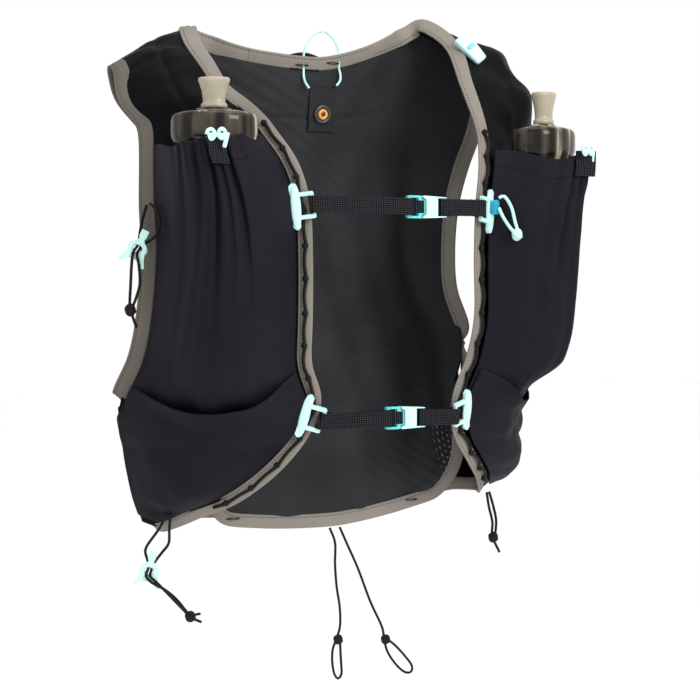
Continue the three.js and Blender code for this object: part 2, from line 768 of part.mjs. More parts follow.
function buildRimPieces(side, suffix) {
  const normal = normalOf(bottlePoint, clipAcross, 0.02);
  const lift = pocketCloth / 2 + gap + webbingThick / 2;
  const path = [0.005, 0.04, 0.08].map((b) => ({
    point: bottlePoint(clipAcross, b).addScaledVector(normal, lift + 0.9),
    normal,
  }));
  const level = normal.clone().cross(vec(0, 0, 1)).normalize();
  const widths = path.map(() => level);
  add(
    `pocket_tab_${suffix}`,
    tape(path, 16, webbingThick, { side, widths }),
    "webbing",
  );
  const shape = outline(
    [
      [-10, 1], [-7, 3], [-3, 0], [1, -1], [4, 3], [6, 7], [9.5, 7], [10, 0], [8, -7], [4, -8],
      [2, -5], [-3, -6], [-8, -5],
    ],
    1.5,
  );
  const origin = bottlePoint(clipAcross, 0).addScaledVector(normal, lift + 1.7 + gap);
  const up = level.clone().cross(normal).negate();
  origin.addScaledVector(up, 4);
  const right = up.clone().cross(normal);
  add(`pocket_clip_${suffix}`, seat(plate(shape, 0, 3.4, 1), origin, right, up, normal, side), "mint");

  const { wide, facing } = flaskAxes();
  const height = flaskTop - 18;
  const elastic = [-0.25, 0.1, 0.45, 0.75, 0.97].map((t) => {
    const turn = t * Math.PI * 0.5;
    const reach = flaskHalfDepth + 0.7 + (t < 0.2 ? (0.2 - t) * 18 : 0);
    return flaskPlace
      .clone()
      .addScaledVector(wide, -(flaskHalfWidth + 0.7) * Math.sin(turn))
      .addScaledVector(facing, reach * Math.cos(turn))
      .add(vec(0, 0, height));
  });
  add(`pocket_cord_${suffix}`, onSide(cord(elastic, 1.1, { steps: 7 }), side), "cord");
}

// Rail cords on the front tapes, and the moulded sliders that grip them
const railStart = 0.31;
const railEnd = 0.9;
const railLift = tapeThick / 2 + gap + railRadius;

function buildRail(side, suffix) {
  const points = [];
  for (let k = 0; k <= 20; k += 1) {
    const v = mix(railStart, railEnd, k / 20);
    const normal = normalOf(panelSurface, 0.01, v);
    points.push(worn(panelSurface(0, v).addScaledVector(normal, railLift + 0.3), side));
  }
  add(`rail_cord_${suffix}`, cord(points, railRadius, { steps: 19, sides: 6 }), "cord");
}

const sliderFloor = railLift + railRadius + 0.6;
const sliderTop = sliderFloor + sliderThick;

function sliderFrame(v) {
  const zAxis = normalOf(panelSurface, 0.01, v);
  const ahead = panelSurface(0, v + 0.02).sub(panelSurface(0, v - 0.02));
  const yAxis = ahead.addScaledVector(zAxis, -ahead.dot(zAxis)).normalize().negate();
  const xAxis = yAxis.clone().cross(zAxis);
  return { origin: panelSurface(0, v), xAxis, yAxis, zAxis };
}

const windowHalf = webbingWidth / 2 + 0.5;

function buildSlider(name, v, side) {
  const inner = -sliderReach;
  const arm = windowHalf + 3;
  const ring = outline(rectangle(inner, -arm, 4, arm), 1.2);
  ring.holes.push(outline(rectangle(inner + sliderThick, -windowHalf, 3, windowHalf)));
  const bar = outline(
    rectangle(3, -sliderLong / 2, 3 + sliderBarWide, sliderLong / 2),
    sliderBarWide / 3,
  );
  const shape = joined(
    plate(ring, sliderFloor, sliderTop),
    plate(bar, sliderFloor - 0.3, sliderTop, 1),
  );
  const { origin, xAxis, yAxis, zAxis } = sliderFrame(v);
  add(name, seat(shape, origin, xAxis, yAxis, zAxis, side), "mint");
}

function sliderBar(v, side) {
  const { origin, xAxis, yAxis, zAxis } = sliderFrame(v);
  const centre = origin
    .clone()
    .addScaledVector(xAxis, -sliderReach + sliderThick / 2)
    .addScaledVector(zAxis, (sliderFloor + sliderTop) / 2);
  const flip = (p) => vec(p.x * side, p.y, p.z);
  return {
    centre: flip(centre),
    axis: flip(yAxis),
    radius: sliderThick / Math.SQRT2 + gap + webbingThick / 2,
  };
}

// The pull cord's toggle lies on the upper left slider's bar.
function buildToggle() {
  const { long, wide, thick } = pullToggle;
  const shape = outline(rectangle(-wide / 2, -long / 2, wide / 2, long / 2), 1.6);
  const { origin, xAxis, yAxis, zAxis } = sliderFrame(UPPER_STRAP.down);
  origin.addScaledVector(xAxis, 3 + sliderBarWide / 2).addScaledVector(yAxis, 3);
  const body = plate(shape, sliderTop + gap, sliderTop + gap + thick);
  add("pull_toggle", seat(body, origin, xAxis, yAxis, zAxis), "blue");
}

// Sternum strap: webbing that wraps a bar at each end and runs straight between
function webbing(from, to) {
  const front = vec(0, -1, 0);
  const flap = 9;
  const path = [];
  const widths = [];
  const wrap = (bar, other, arriving) => {
    const along = other.centre.clone().sub(bar.centre);
    along.addScaledVector(bar.axis, -along.dot(bar.axis)).normalize();
    const up = front.clone().addScaledVector(bar.axis, -front.dot(bar.axis));
    up.addScaledVector(along, -up.dot(along)).normalize();
    const steps = [[flap, -1], [0, -1], [-0.7, -0.7], [-1, 0], [-0.7, 0.7], [0, 1]];
    const places = arriving ? steps.slice().reverse() : steps;
    for (const [a, b] of places) {
      const reach = a === flap ? a : a * bar.radius;
      const point = bar.centre
        .clone()
        .addScaledVector(along, reach)
        .addScaledVector(up, b * bar.radius);
      path.push({ point, normal: front });
      widths.push(bar.axis);
    }
  };
  wrap(from, to, false);
  wrap(to, from, true);
  return tape(path, webbingWidth, webbingThick, { side: 0, widths });
}

function buildStrap(level, v, plugAt) {
  const rightBar = sliderBar(v, -1);
  const leftBar = sliderBar(v, 1);
  const z = rightBar.centre.z;
  const frontY = rightBar.centre.y - rightBar.radius;
  const barRadius = buckleBar / Math.SQRT2 + gap + webbingThick / 2;
  const y = frontY + barRadius - 1;
  const axis = vec(0, 0, 1);

  const frameLong = 12;
  const tongue = 14;
  const socketLong = 20.5;
  const socketAt = plugAt + frameLong + 0.5;
  const half = buckleHigh / 2;
  const plugShape = outline(
    [
      [0, -half], [frameLong, -half], [frameLong, -5.6], [frameLong + tongue - 3, -5.6],
      [frameLong + tongue, -3.6], [frameLong + tongue, 3.6], [frameLong + tongue - 3, 5.6],
      [frameLong, 5.6], [frameLong, half], [0, half],
    ],
    1.2,
  );
  plugShape.holes.push(
    outline(rectangle(buckleBar, -windowHalf, frameLong - 2.6, windowHalf)),
  );
  const lying = (shape, x) =>
    seat(shape, vec(x, y, z), vec(1, 0, 0), vec(0, 0, 1), vec(0, -1, 0));
  const plug = plate(plugShape, -plugThick / 2, plugThick / 2);
  add(`buckle_plug_${level}`, lying(plug, plugAt), "teal");

  const socketShape = outline(
    [
      [0, -half], [socketLong, -half + 1], [socketLong, half - 1], [0, half],
      [0, half - 1.6], [3, half - 2.6], [3, -half + 2.6], [0, -half + 1.6],
    ],
    1,
  );
  const slotEnd = socketLong - buckleBar;
  const socket = cut(
    plate(socketShape, -buckleThick / 2, buckleThick / 2),
    box(-1, -6, -plugThick / 2 - 0.4, tongue + 0.6, 6, plugThick / 2 + 0.4),
    box(slotEnd - 4.4, -windowHalf, -9, slotEnd, windowHalf, 9),
    box(slotEnd - 0.1, -windowHalf, buckleBar / 2, socketLong + 1, windowHalf, 9),
    box(slotEnd - 0.1, -windowHalf, -9, socketLong + 1, windowHalf, -buckleBar / 2),
  );
  add(`buckle_socket_${level}`, lying(socket, socketAt), "mint");

  const bar = (x) => ({ centre: vec(x, y, z), axis, radius: barRadius });
  add(`strap_${level}_right`, webbing(rightBar, bar(plugAt + buckleBar / 2)), "webbing");
  const socketBar = bar(socketAt + socketLong - buckleBar / 2);
  add(`strap_${level}_left`, webbing(leftBar, socketBar), "webbing");
}

// Nape: tab, hang loop and the tube port
function buildNape() {
  const tabLift = tapeWidth / 2 + seamGap + 2;
  const tab = plate(outline(rectangle(-14, 0, 14, 3.4), 1), -0.8, 0.8);
  const origin = vec(-4, 0, tabLift);
  add("neck_tab", seat(tab, origin, vec(1, 0, 0), vec(0, 0, 1), vec(0, -1, 0)), "webbing");

  const loop = [
    [-11, 6, -14], [-13.5, 5, -5], [-15, 3.4, 6], [-11.5, 2.6, 16], [-4, 2.4, 23.5],
    [4, 2.4, 26], [12, 2.6, 22.5], [17, 3.4, 13], [16.5, 4.6, 4], [14.5, 5.6, -6], [12.5, 6, -14],
  ].map(([x, y, z]) => vec(x, y - 7.9, z));
  add("hang_loop", cord(loop, mintCordRadius, { steps: 20, sides: 6 }), "mintCord");

  const v = 0.15;
  const inward = normalOf(backSurface, 0.01, v);
  const up = vec(0, 0, 1);
  const right = up.clone().cross(inward).normalize();
  const upright = inward.clone().cross(right);
  const face = backSurface(0.02, v).addScaledVector(inward, meshCloth / 2 + 0.6);
  const patch = plate(outline(rectangle(-11.5, -14, 11.5, 21), 1.5), 0, 1);
  add("port_patch", seat(patch, face, right, upright, inward), "mesh");
  const onPatch = face.clone().addScaledVector(inward, 1 + gap);
  const washer = new THREE.LatheGeometry(
    [
      new THREE.Vector2(portRadius * 0.34, 0), new THREE.Vector2(portRadius, 0),
      new THREE.Vector2(portRadius, 0.8), new THREE.Vector2(portRadius * 0.56, 1.2),
      new THREE.Vector2(portRadius * 0.5, 2.2), new THREE.Vector2(portRadius * 0.34, 2.2),
      new THREE.Vector2(portRadius * 0.34, 0),
    ],
    10,
  ).rotateX(Math.PI / 2);
  add("port_ring", seat(washer, onPatch, right, upright, inward), "brass");
}

// Whistle on the left shoulder
function buildWhistle() {
  const body = outline(
    [[-7, 14], [5, 15], [9, 8], [6, -13], [0, -15], [-5.5, -12], [-9, 8]],
    3,
  );
  const shape = cut(
    plate(body, 0, whistleThick, 2),
    box(-1.5, -1, whistleThick - 2.4, 5, 2.6, whistleThick + 1),
  );
  const normal = vec(-0.1, -0.86, 0.5).normalize();
  const right = vec(1, -0.05, 0).cross(normal).cross(normal).negate().normalize();
  const up = normal.clone().cross(right);
  const turn = 0.32;
  const x = right.clone().multiplyScalar(Math.cos(turn)).addScaledVector(up, -Math.sin(turn));
  const y = up.clone().multiplyScalar(Math.cos(turn)).addScaledVector(right, Math.sin(turn));
  const length = whistleLong / 29;
  shape.scale(length, length, 1);
  add("whistle", seat(shape, vec(118.9, -43, 15.7), x, y, normal), "mint");
}

// Free cords. Their routes stay as chosen: shown for the wearer's left, or in place.
const SIDE_UPPER_CORDS = [
  [
    [173, -57.6, -120], [177, -60, -130], [179.5, -60.8, -140], [180.8, -61.5, -147.8],
    [183.7, -63.4, -151.6], [186.6, -65.2, -155], [188, -65.5, -164], [188.5, -64.5, -180],
    [188, -63, -192], [188, -62.5, -197],
  ],
  [
    [172, -62, -119], [171, -72, -124], [170, -76, -132], [171.5, -75, -141],
    [173.5, -64.5, -146.5], [178.4, -62.4, -149], [181.3, -64.6, -152.6], [184.2, -66.5, -156.2],
    [183, -67.4, -165], [181.5, -65, -178], [184.5, -63.5, -190], [188, -62.5, -197],
  ],
];
const SIDE_LOWER_CORDS = [
  [
    [151, -33, -362], [155, -24, -370], [158, -15.6, -380], [157.5, -16.2, -388],
    [156.1, -17.1, -392.8], [158.2, -19.3, -396.7], [160.4, -21.6, -400.6],
    [158, -26, -405], [149, -29, -410.5], [141, -27, -416.5], [134, -24, -423], [125, -24, -434],
  ],
  [
    [147, -34, -362], [144.5, -29, -369], [143.5, -26, -376], [147, -22, -383],
    [151, -19.6, -389], [153.6, -18.4, -393.4], [155.8, -20.7, -397.3], [157.6, -23, -401],
    [153, -28, -406.5], [146, -29, -414], [137, -27, -423], [129, -24.5, -431],
    [125, -24, -435],
  ],
];
const SIDE_HIDDEN_CORDS = [
  [[138, -36.5, -358.5], [139, -37.5, -366], [142, -37.5, -376], [143.5, -36.5, -388]],
  [[141.8, -34, -359], [145, -35.5, -366], [146, -36.5, -376], [143.5, -36.5, -388]],
];
const HEM_CORDS = {
  right: [
    [-6.2, -28.6, -372.6], [-3.4, -32.5, -384.4], [-4.2, -34, -401], [-2.8, -34, -419],
    [0, -34, -436], [0.3, -34, -451], [-2.8, -34, -461],
  ],
  left: [
    [2.8, -28.6, -372.6], [6.5, -33.5, -385], [15.1, -37, -406], [25.5, -38, -432.6],
    [36.5, -38, -454.7], [39.3, -38, -464.7],
  ],
};
const HEM_LOOPS = {
  right: [
    [-2.8, -34, -461], [-6.4, -34, -470], [-6.6, -34, -481], [-4.6, -34, -490], [-1.4, -34, -493.5],
    [1.6, -34, -490], [1.2, -34, -480], [-0.6, -34, -470], [-2.4, -34, -461.5],
  ],
  left: [
    [39.3, -38, -464.7], [42, -38, -476], [50, -38, -487], [58, -38, -493.6], [63.6, -38, -493.8],
    [64.4, -38, -489], [58, -38, -480.5], [49.5, -38, -471.5], [39.8, -38, -465],
  ],
};
const PULL_CORD = [
  [88.6, -129.5, -111.6], [91.5, -132.5, -110.6], [95.5, -136, -118.8], [97, -139, -130],
  [97.6, -141, -138.5],
];
const PULL_CORD_BACK = [
  [87.6, -131, -119.5], [89, -134, -126], [92.5, -138, -134], [97.6, -141, -138.5],
];
const pullToggle = { long: 11, wide: 6, thick: 5 };

const routed = (points) => points.map(([x, y, z]) => vec(x, y, z));

function knot(centre, radius, stretch = 1.25) {
  const shape = new THREE.IcosahedronGeometry(radius, 0);
  shape.scale(1, 1, stretch);
  return shape.translate(...centre);
}

function stub(from, to, radius) {
  return cord(routed([from, to]), radius, { steps: 1 });
}

function buildFreeCord(name, strands, knotAt, stubs, radius, side, kind = "cord") {
  const parts = strands.map((points) => cord(routed(points), radius));
  parts.push(knot(knotAt, knotRadius * (radius < cordRadius ? 0.9 : 1)));
  for (const end of stubs) parts.push(stub(knotAt, end, radius));
  add(name, onSide(joined(...parts), side), kind);
}

// Hook of a flank cord: a square head, a neck, and a ringed body with two wings
function hookShape() {
  const s = hookLong / 27;
  const half = [
    [2.8, 14.5], [2.8, 9], [2, 8], [2.4, 6.4], [5.6, 3], [6.4, -2], [8, -7], [10.4, -12],
    [8.2, -12.6], [4.6, -9], [0, -8],
  ];
  const rightSide = half.map(([x, y]) => [x * s, y * s]);
  const leftSide = half.slice(0, -1).reverse().map(([x, y]) => [-x * s, y * s]);
  const shape = outline([...rightSide, ...leftSide]);
  shape.holes.push(outline(rectangle(-3.7, -4.9, 3.7, 4.9)));
  return plate(shape, -hookThick / 2, hookThick / 2, 1);
}

function buildHook(name, origin, tilt, facing, side) {
  const turn = THREE.MathUtils.degToRad(facing);
  const outwards = vec(Math.cos(turn), Math.sin(turn), 0);
  const zAxis = vec(Math.sin(turn), -Math.cos(turn), 0);
  const lean = THREE.MathUtils.degToRad(tilt);
  const yAxis = vec(0, 0, Math.cos(lean)).addScaledVector(outwards, -Math.sin(lean));
  const xAxis = yAxis.clone().cross(zAxis);
  add(name, seat(hookShape(), origin, xAxis, yAxis, zAxis, side), "mint");
}

function buildCords() {
  for (const { side, suffix } of SIDES) {
    buildHook(`side_hook_upper_${suffix}`, vec(182.5, -64, -152), 25, 28, side);
    buildFreeCord(
      `side_cord_upper_${suffix}`,
      SIDE_UPPER_CORDS,
      [188, -62.5, -197],
      [[183, -62, -210]],
      cordRadius,
      side,
    );
    const points = HEM_CORDS[suffix];
    const end = points[points.length - 1];
    buildFreeCord(
      `hem_cord_${suffix}`,
      [points, HEM_LOOPS[suffix]],
      end,
      [[end[0] + 3.5, end[1], end[2] + 8]],
      hemCordRadius,
      1,
    );
  }
  buildHook("side_hook_lower_right", vec(157, -20, -397), 12, 28, -1);
  buildFreeCord(
    "side_cord_lower_right",
    SIDE_LOWER_CORDS,
    [125, -24, -434.5],
    [[116.5, -24, -433], [116, -24, -439.5]],
    cordRadius,
    -1,
  );
  buildFreeCord(
    "side_cord_lower_left",
    SIDE_HIDDEN_CORDS,
    [143.5, -36.5, -389],
    [[150, -36, -402]],
    cordRadius,
    1,
  );
  buildFreeCord(
    "pull_cord",
    [PULL_CORD, PULL_CORD_BACK],
    [97.6, -141, -139],
    [[93.5, -141.5, -147.5]],
    mintCordRadius,
    1,
    "mintCord",
  );
}

for (const { side, suffix } of SIDES) {
  buildFrontPanel(side, suffix);

  buildArmholeTape(side, suffix);
  buildWing(side, suffix);
  buildPocket(`bottle_pocket_${suffix}`, bottlePoint, 10, 9, side);
  buildPocket(`lower_pocket_${suffix}`, lowerPoint, 10, 6, side);
  buildFlask(side, suffix);
  buildRimPieces(side, suffix);
  buildRail(side, suffix);
  buildSlider(`slider_upper_${suffix}`, UPPER_STRAP.down, side);
  buildSlider(`slider_lower_${suffix}`, LOWER_STRAP.down, side);
}
buildBack();
buildStrap("upper", UPPER_STRAP.down, UPPER_STRAP.plugAt);
buildStrap("lower", LOWER_STRAP.down, LOWER_STRAP.plugAt);
buildToggle();
buildNape();
buildWhistle();
buildCords();

export default vest;
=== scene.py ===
# %% [markdown]
# # A running hydration vest, shown as worn
# The vest is made from thin sheets of cloth sewn together with bias tape, plus small moulded
# fittings. The CAD frame gives every piece its place. Here each cloth piece is made again as a
# fine, gently creased sheet, and the fittings get their real surfaces.

import math

import bpy
import numpy as np
from mathutils import Matrix, Vector


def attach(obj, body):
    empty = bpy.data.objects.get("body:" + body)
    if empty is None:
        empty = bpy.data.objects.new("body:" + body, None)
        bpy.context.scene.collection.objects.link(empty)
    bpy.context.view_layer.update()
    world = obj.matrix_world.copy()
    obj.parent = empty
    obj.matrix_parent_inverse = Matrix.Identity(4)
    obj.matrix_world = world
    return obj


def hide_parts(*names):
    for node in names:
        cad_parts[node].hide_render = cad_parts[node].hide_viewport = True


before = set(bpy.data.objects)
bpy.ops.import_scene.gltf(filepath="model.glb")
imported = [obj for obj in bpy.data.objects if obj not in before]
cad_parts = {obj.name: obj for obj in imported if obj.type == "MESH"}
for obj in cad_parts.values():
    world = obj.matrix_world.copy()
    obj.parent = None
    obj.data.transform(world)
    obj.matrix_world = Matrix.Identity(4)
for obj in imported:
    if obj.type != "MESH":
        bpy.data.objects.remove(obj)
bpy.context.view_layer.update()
bpy.ops.object.select_all(action="DESELECT")
MM = 0.001
print("CAD nodes:", len(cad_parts))

# %% [markdown]
# ## Two small habits
# Every operator acts on what is selected, so one helper selects a piece alone before any work on
# it. The other links new data into the scene. Both are used in nearly every step below.

# %% Select one piece, and put new data into the scene
def pick(piece):
    bpy.ops.object.select_all(action="DESELECT")
    piece.select_set(True)
    bpy.context.view_layer.objects.active = piece


def into_scene(name, data):
    piece = bpy.data.objects.new(name, data)
    bpy.context.scene.collection.objects.link(piece)
    return piece


print("helpers: pick, into_scene")

# %% [markdown]
# ## The camera
# The photograph was taken from the wearer's front right, just above the middle of the vest,
# with a long lens, so the vest is seen with little perspective. A camera could be set by eye,
# but two angles and a place are easier to compare with the photograph.

# %% Camera
camera_turn = math.radians(-28)
camera_lift = math.radians(2)
camera_place = (-0.662, -1.2966, -0.1805)
sight = Vector(
    (
        math.sin(-camera_turn) * math.cos(camera_lift),
        math.cos(camera_turn) * math.cos(camera_lift),
        -math.sin(camera_lift),
    )
)
long_lens = bpy.data.cameras.new("camera")
long_lens.sensor_width = 36
long_lens.lens = 92.16
camera = into_scene("camera", long_lens)
camera.location = camera_place
camera.rotation_mode = "QUATERNION"
camera.rotation_quaternion = sight.to_track_quat("-Z", "Y")
bpy.context.scene.camera = camera
print("camera at", camera_place)

# %% [markdown]
# ## Free cords
# Elastic cord hangs from both flanks and from the hem, and a mint cord from the slider's toggle.
# A cord could be a swept mesh, but a curve with a round section keeps an even thickness round tight
# bends. Its route is a short list of points. They are the solid's own, but the lower cords start a
# little higher, where the corners of the front panels hang here.

# %% Routes of the cords, in millimetres, for the wearer's left or in place
SIDE_UPPER = [
    [
        (173, -57.6, -120), (177, -60, -130), (179.5, -60.8, -140), (180.8, -61.5, -147.8),
        (183.7, -63.4, -151.6), (186.6, -65.2, -155), (188, -65.5, -164),
        (188.5, -64.5, -180), (188.6, -63, -192), (187.6, -62.3, -197.5), (183, -62, -210),
    ],
    [
        (172, -62, -119), (171, -72, -124), (170, -76, -132), (171.5, -75, -141),
        (173.5, -64.5, -146.5), (178.4, -62.4, -149), (181.3, -64.6, -152.6),
        (184.2, -66.5, -156.2), (183, -67.4, -165), (181.5, -65, -178), (184.5, -63.5, -190),
        (186.6, -62.8, -195),
    ],
]
SIDE_LOWER = [
    [
        (149, -35, -352), (152, -28, -364), (158, -15.6, -380), (157.5, -16.2, -388),
        (156.1, -17.1, -392.8), (158.2, -19.3, -396.7), (160.4, -21.6, -400.6),
        (158, -26, -405), (149, -29, -410.5), (141, -27, -416.5), (134, -24, -423),
        (125, -23, -433), (116.5, -24, -433),
    ],
    [
        (146, -36, -352), (145, -31, -364), (143.5, -26, -376), (147, -22, -383),
        (151, -19.6, -389), (153.6, -18.4, -393.4), (155.8, -20.7, -397.3),
        (157.6, -23, -401), (153, -28, -406.5), (146, -29, -414), (137, -27, -423),
        (129, -25.5, -431), (124, -25, -435.5), (116, -24, -439.5),
    ],
]
SIDE_HIDDEN = [
    [
        (137, -36.5, -351), (138.5, -37.5, -363), (142, -37.5, -376), (142.6, -36.5, -388),
        (150, -36, -402),
    ],
    [(141, -34, -351), (144.4, -35.5, -364), (146.4, -36.5, -376), (145, -36.5, -389.6)],
]
HEM = {
    "right": [
        (-6.2, -28.6, -372.6), (-3.4, -32.5, -384.4), (-4.2, -34, -401), (-2.8, -34, -419),
        (0, -34, -436), (0.3, -34, -451), (-2.8, -34, -461), (-6.4, -34, -470),
        (-6.6, -34, -481), (-4.6, -34, -490), (-1.4, -34, -493.5), (1.6, -34, -490),
        (1.2, -34, -480), (0.6, -34, -470), (0.4, -34, -463.5),
    ],
    "left": [
        (2.8, -28.6, -372.6), (6.5, -33.5, -385), (15.1, -37, -406), (25.5, -38, -432.6),
        (36.5, -38, -454.7), (38.3, -38, -464.7), (42, -38, -476), (50, -38, -487),
        (58, -38, -493.6), (63.6, -38, -493.8), (64.4, -38, -489), (58, -38, -480.5),
        (49.5, -38, -471.5), (41.6, -38, -465),
    ],
}
PULL = [
    [
        (88.6, -129.5, -111.6), (91.5, -132.5, -110.6), (95.5, -136, -118.8), (97, -139, -130),
        (98.2, -141, -137.5), (97.2, -141, -140.4), (95.4, -140.4, -138.4), (92.5, -138, -134),
        (89, -134, -126), (87.6, -131, -119.5),
    ],
]
elastic_thick = 2.2
thin_thick = 2.0
pull_thick = 2.6
print("strands:", 2 * len(SIDE_UPPER) + len(SIDE_LOWER) + len(SIDE_HIDDEN) + len(HEM) + len(PULL))

# %% Cords as curves
def smooth_route(points, step=2.0):
    p = np.array(points, float)
    p = np.vstack([2 * p[0] - p[1], p, 2 * p[-1] - p[-2]])
    out = []
    for i in range(1, len(p) - 2):
        count = max(2, int(np.linalg.norm(p[i + 1] - p[i]) / step))
        for t in np.arange(count) / count:
            a = 2 * p[i]
            b = p[i + 1] - p[i - 1]
            c = 2 * p[i - 1] - 5 * p[i] + 4 * p[i + 1] - p[i + 2]
            d = -p[i - 1] + 3 * p[i] - 3 * p[i + 1] + p[i + 2]
            out.append((a + b * t + c * t * t + d * t**3) / 2)
    out.append(p[-2])
    return np.array(out)


def route_length(route):
    return float(np.linalg.norm(np.diff(route, axis=0), axis=1).sum()) * MM


def cord_curve(name, route, thick):
    curve = bpy.data.curves.new(name, "CURVE")
    curve.dimensions = "3D"
    curve.bevel_depth = 1.0
    curve.bevel_resolution = 3
    curve.use_fill_caps = True
    spline = curve.splines.new("POLY")
    spline.points.add(len(route) - 1)
    for point, place in zip(spline.points, route):
        point.co = (*(place * MM), 1)
        point.radius = thick / 2 * MM
    return into_scene(name, curve)


print("longest hem cord:", round(route_length(smooth_route(HEM["left"])) * 1000), "mm")

# %% [markdown]
# ## Knots
# Each cord ends in an overhand knot. Tying it as a curve would need dozens of hand-set points
# for a lump of 5 mm, so two small rings are crossed instead. Their bumps catch the light as
# the turns of a tight knot do.

# %% Knots from two crossed rings
thick_knot, thin_knot = 5.0, 4.6
print("knot radius:", thick_knot, "mm, and", thin_knot, "mm on thin cord")


def knot_lump(name, centre, radius):
    bpy.ops.object.select_all(action="DESELECT")
    place = tuple(c * MM for c in centre)
    bpy.ops.mesh.primitive_torus_add(
        major_radius=radius * 0.5 * MM,
        minor_radius=radius * 0.42 * MM,
        major_segments=20,
        minor_segments=10,
        location=place,
        rotation=(0.5, 0.3, 0),
    )
    knot = bpy.context.object
    knot.name = name
    bpy.ops.object.mode_set(mode="EDIT")
    bpy.ops.mesh.select_all(action="SELECT")
    bpy.ops.mesh.duplicate()
    bpy.ops.transform.rotate(value=1.3, orient_axis="X", center_override=place)
    bpy.ops.transform.resize(value=(0.9, 0.9, 1.25), center_override=place)
    bpy.ops.object.mode_set(mode="OBJECT")
    bpy.ops.object.transform_apply(location=True, rotation=True, scale=True)
    bpy.ops.object.shade_smooth()
    return knot


def free_cord(name, strands, knot_at, thick, side=1):
    knot_size = thin_knot if thick == thin_thick else thick_knot
    knot = knot_lump(f"{name}_knot", (knot_at[0] * side, *knot_at[1:]), knot_size)
    pieces = []
    for k, points in enumerate(strands):
        route = smooth_route([(x * side, y, z) for x, y, z in points])
        piece = cord_curve(f"{name}_{k + 1}", route, thick)
        pieces.append(piece)
        print(piece.name, "length", round(route_length(route) * 1000), "mm")
    for piece in [*pieces, knot]:
        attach(piece, "root")
        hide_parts(name)
    return [*pieces, knot]


# %% Hang the cords
hem_knots = {"right": (-1.4, -34, -462), "left": (39.8, -38, -465)}
elastic_cords = []
for suffix, side in (("right", -1), ("left", 1)):
    flank_knot = (188, -62.5, -197)
    elastic_cords += free_cord(f"side_cord_upper_{suffix}", SIDE_UPPER, flank_knot, elastic_thick, side)
    elastic_cords += free_cord(f"hem_cord_{suffix}", [HEM[suffix]], hem_knots[suffix], thin_thick)
elastic_cords += free_cord("side_cord_lower_right", SIDE_LOWER, (125, -24, -434.5), elastic_thick, -1)
elastic_cords += free_cord("side_cord_lower_left", SIDE_HIDDEN, (143.5, -36.5, -389), elastic_thick)
mint_cords = free_cord("pull_cord", PULL, (97.6, -141, -140), pull_thick)
print("cords and knots:", len(elastic_cords) + len(mint_cords))

# %% [markdown]
# ## The shape of the body
# A worn vest has the shape of the wearer. It could be sculpted, but then no edge would have a
# name. Instead the rows of a table give each panel's two edges from the shoulder down to the
# hem, as shares of three named sizes. A smooth curve through the rows makes an edge, and a low
# bulge between the edges makes the sheet, just as in the part's source.

# %% Named sizes and tables, as in the part's source
DROP, HALF, DEPTH = 370, 180, 122
PANEL_BULGE, WING_BULGE = 15, 24
TAPE, ARM_TAPE, TAPE_THICK, TAPE_STEP = 11, 13, 2.4, 2.0
ARM_END = 11 / 16
NECK_SHARE = 0.6
WING_TOP = 7 / 12

PANEL = np.array([
    [0.572, -0.09, -0.06, 0.911, -0.074, 0.006, 0.05],
    [0.588, -0.02, -0.068, 0.922, -0.016, -0.016, 0.1],
    [0.622, 0.18, -0.032, 0.928, 0.115, 0, 0.4],
    [0.617, 0.369, 0.014, 0.939, 0.197, 0.043, 0.6],
    [0.567, 0.623, 0.092, 0.933, 0.287, 0.103, 0.65],
    [0.526, 0.787, 0.166, 0.933, 0.361, 0.176, 0.5],
    [0.461, 0.943, 0.242, 0.944, 0.41, 0.249, 0.33],
    [0.422, 0.992, 0.324, 0.95, 0.434, 0.324, 0.27],
    [0.413, 1, 0.432, 0.944, 0.443, 0.419, 0.27],
    [0.414, 1, 0.551, 0.956, 0.41, 0.541, 0.3],
    [0.397, 0.939, 0.641, 0.978, 0.344, 0.632, 0.45],
    [0.344, 0.914, 0.715, 1.022, 0.221, 0.714, 0.7],
    [0.382, 0.832, 0.789, 0.989, 0.139, 0.784, 0.8],
    [0.489, 0.742, 0.854, 0.961, 0.098, 0.838, 0.7],
    [0.611, 0.57, 0.908, 0.928, 0.074, 0.892, 0.45],
    [0.728, 0.311, 0.962, 0.9, 0.052, 0.941, 0.2],
    [0.811, 0.115, 0.989, 0.872, 0.041, 0.977, 0.05],
])  # front out, fore, down; arm out, fore, down; bulge
BACK = np.array([
    [0, 0, 0.572, -0.09, -0.06, 0.911, -0.074, 0.006],
    [-0.025, 0.059, 0.533, -0.123, -0.008, 0.878, -0.09, 0.073],
    [-0.049, 0.122, 0.505, -0.139, 0.068, 0.828, -0.066, 0.135],
    [-0.074, 0.203, 0.472, -0.148, 0.168, 0.744, 0, 0.211],
    [-0.066, 0.297, 0.444, -0.115, 0.284, 0.65, 0.107, 0.297],
    [-0.033, 0.392, 0.422, -0.066, 0.392, 0.606, 0.164, 0.392],
    [0.016, 0.486, 0.422, 0, 0.486, 0.606, 0.19, 0.492],
    [0.074, 0.581, 0.44, 0.049, 0.578, 0.672, 0.2, 0.581],
    [0.123, 0.676, 0.444, 0.098, 0.676, 0.678, 0.2, 0.676],
    [0.164, 0.77, 0.433, 0.139, 0.77, 0.672, 0.2, 0.77],
    [0.197, 0.865, 0.411, 0.172, 0.859, 0.65, 0.205, 0.854],
    [0.221, 0.946, 0.372, 0.193, 0.935, 0.606, 0.205, 0.914],
    [0.23, 0.989, 0.333, 0.197, 0.977, 0.544, 0.18, 0.962],
])  # middle fore, down; neck out, fore, down; edge out, fore, down
print("rows:", len(PANEL), "for a front panel,", len(BACK), "for the back")

# %% Curves through the rows, and the surfaces between them
SIZES = np.array([HALF, -DEPTH, -DROP])


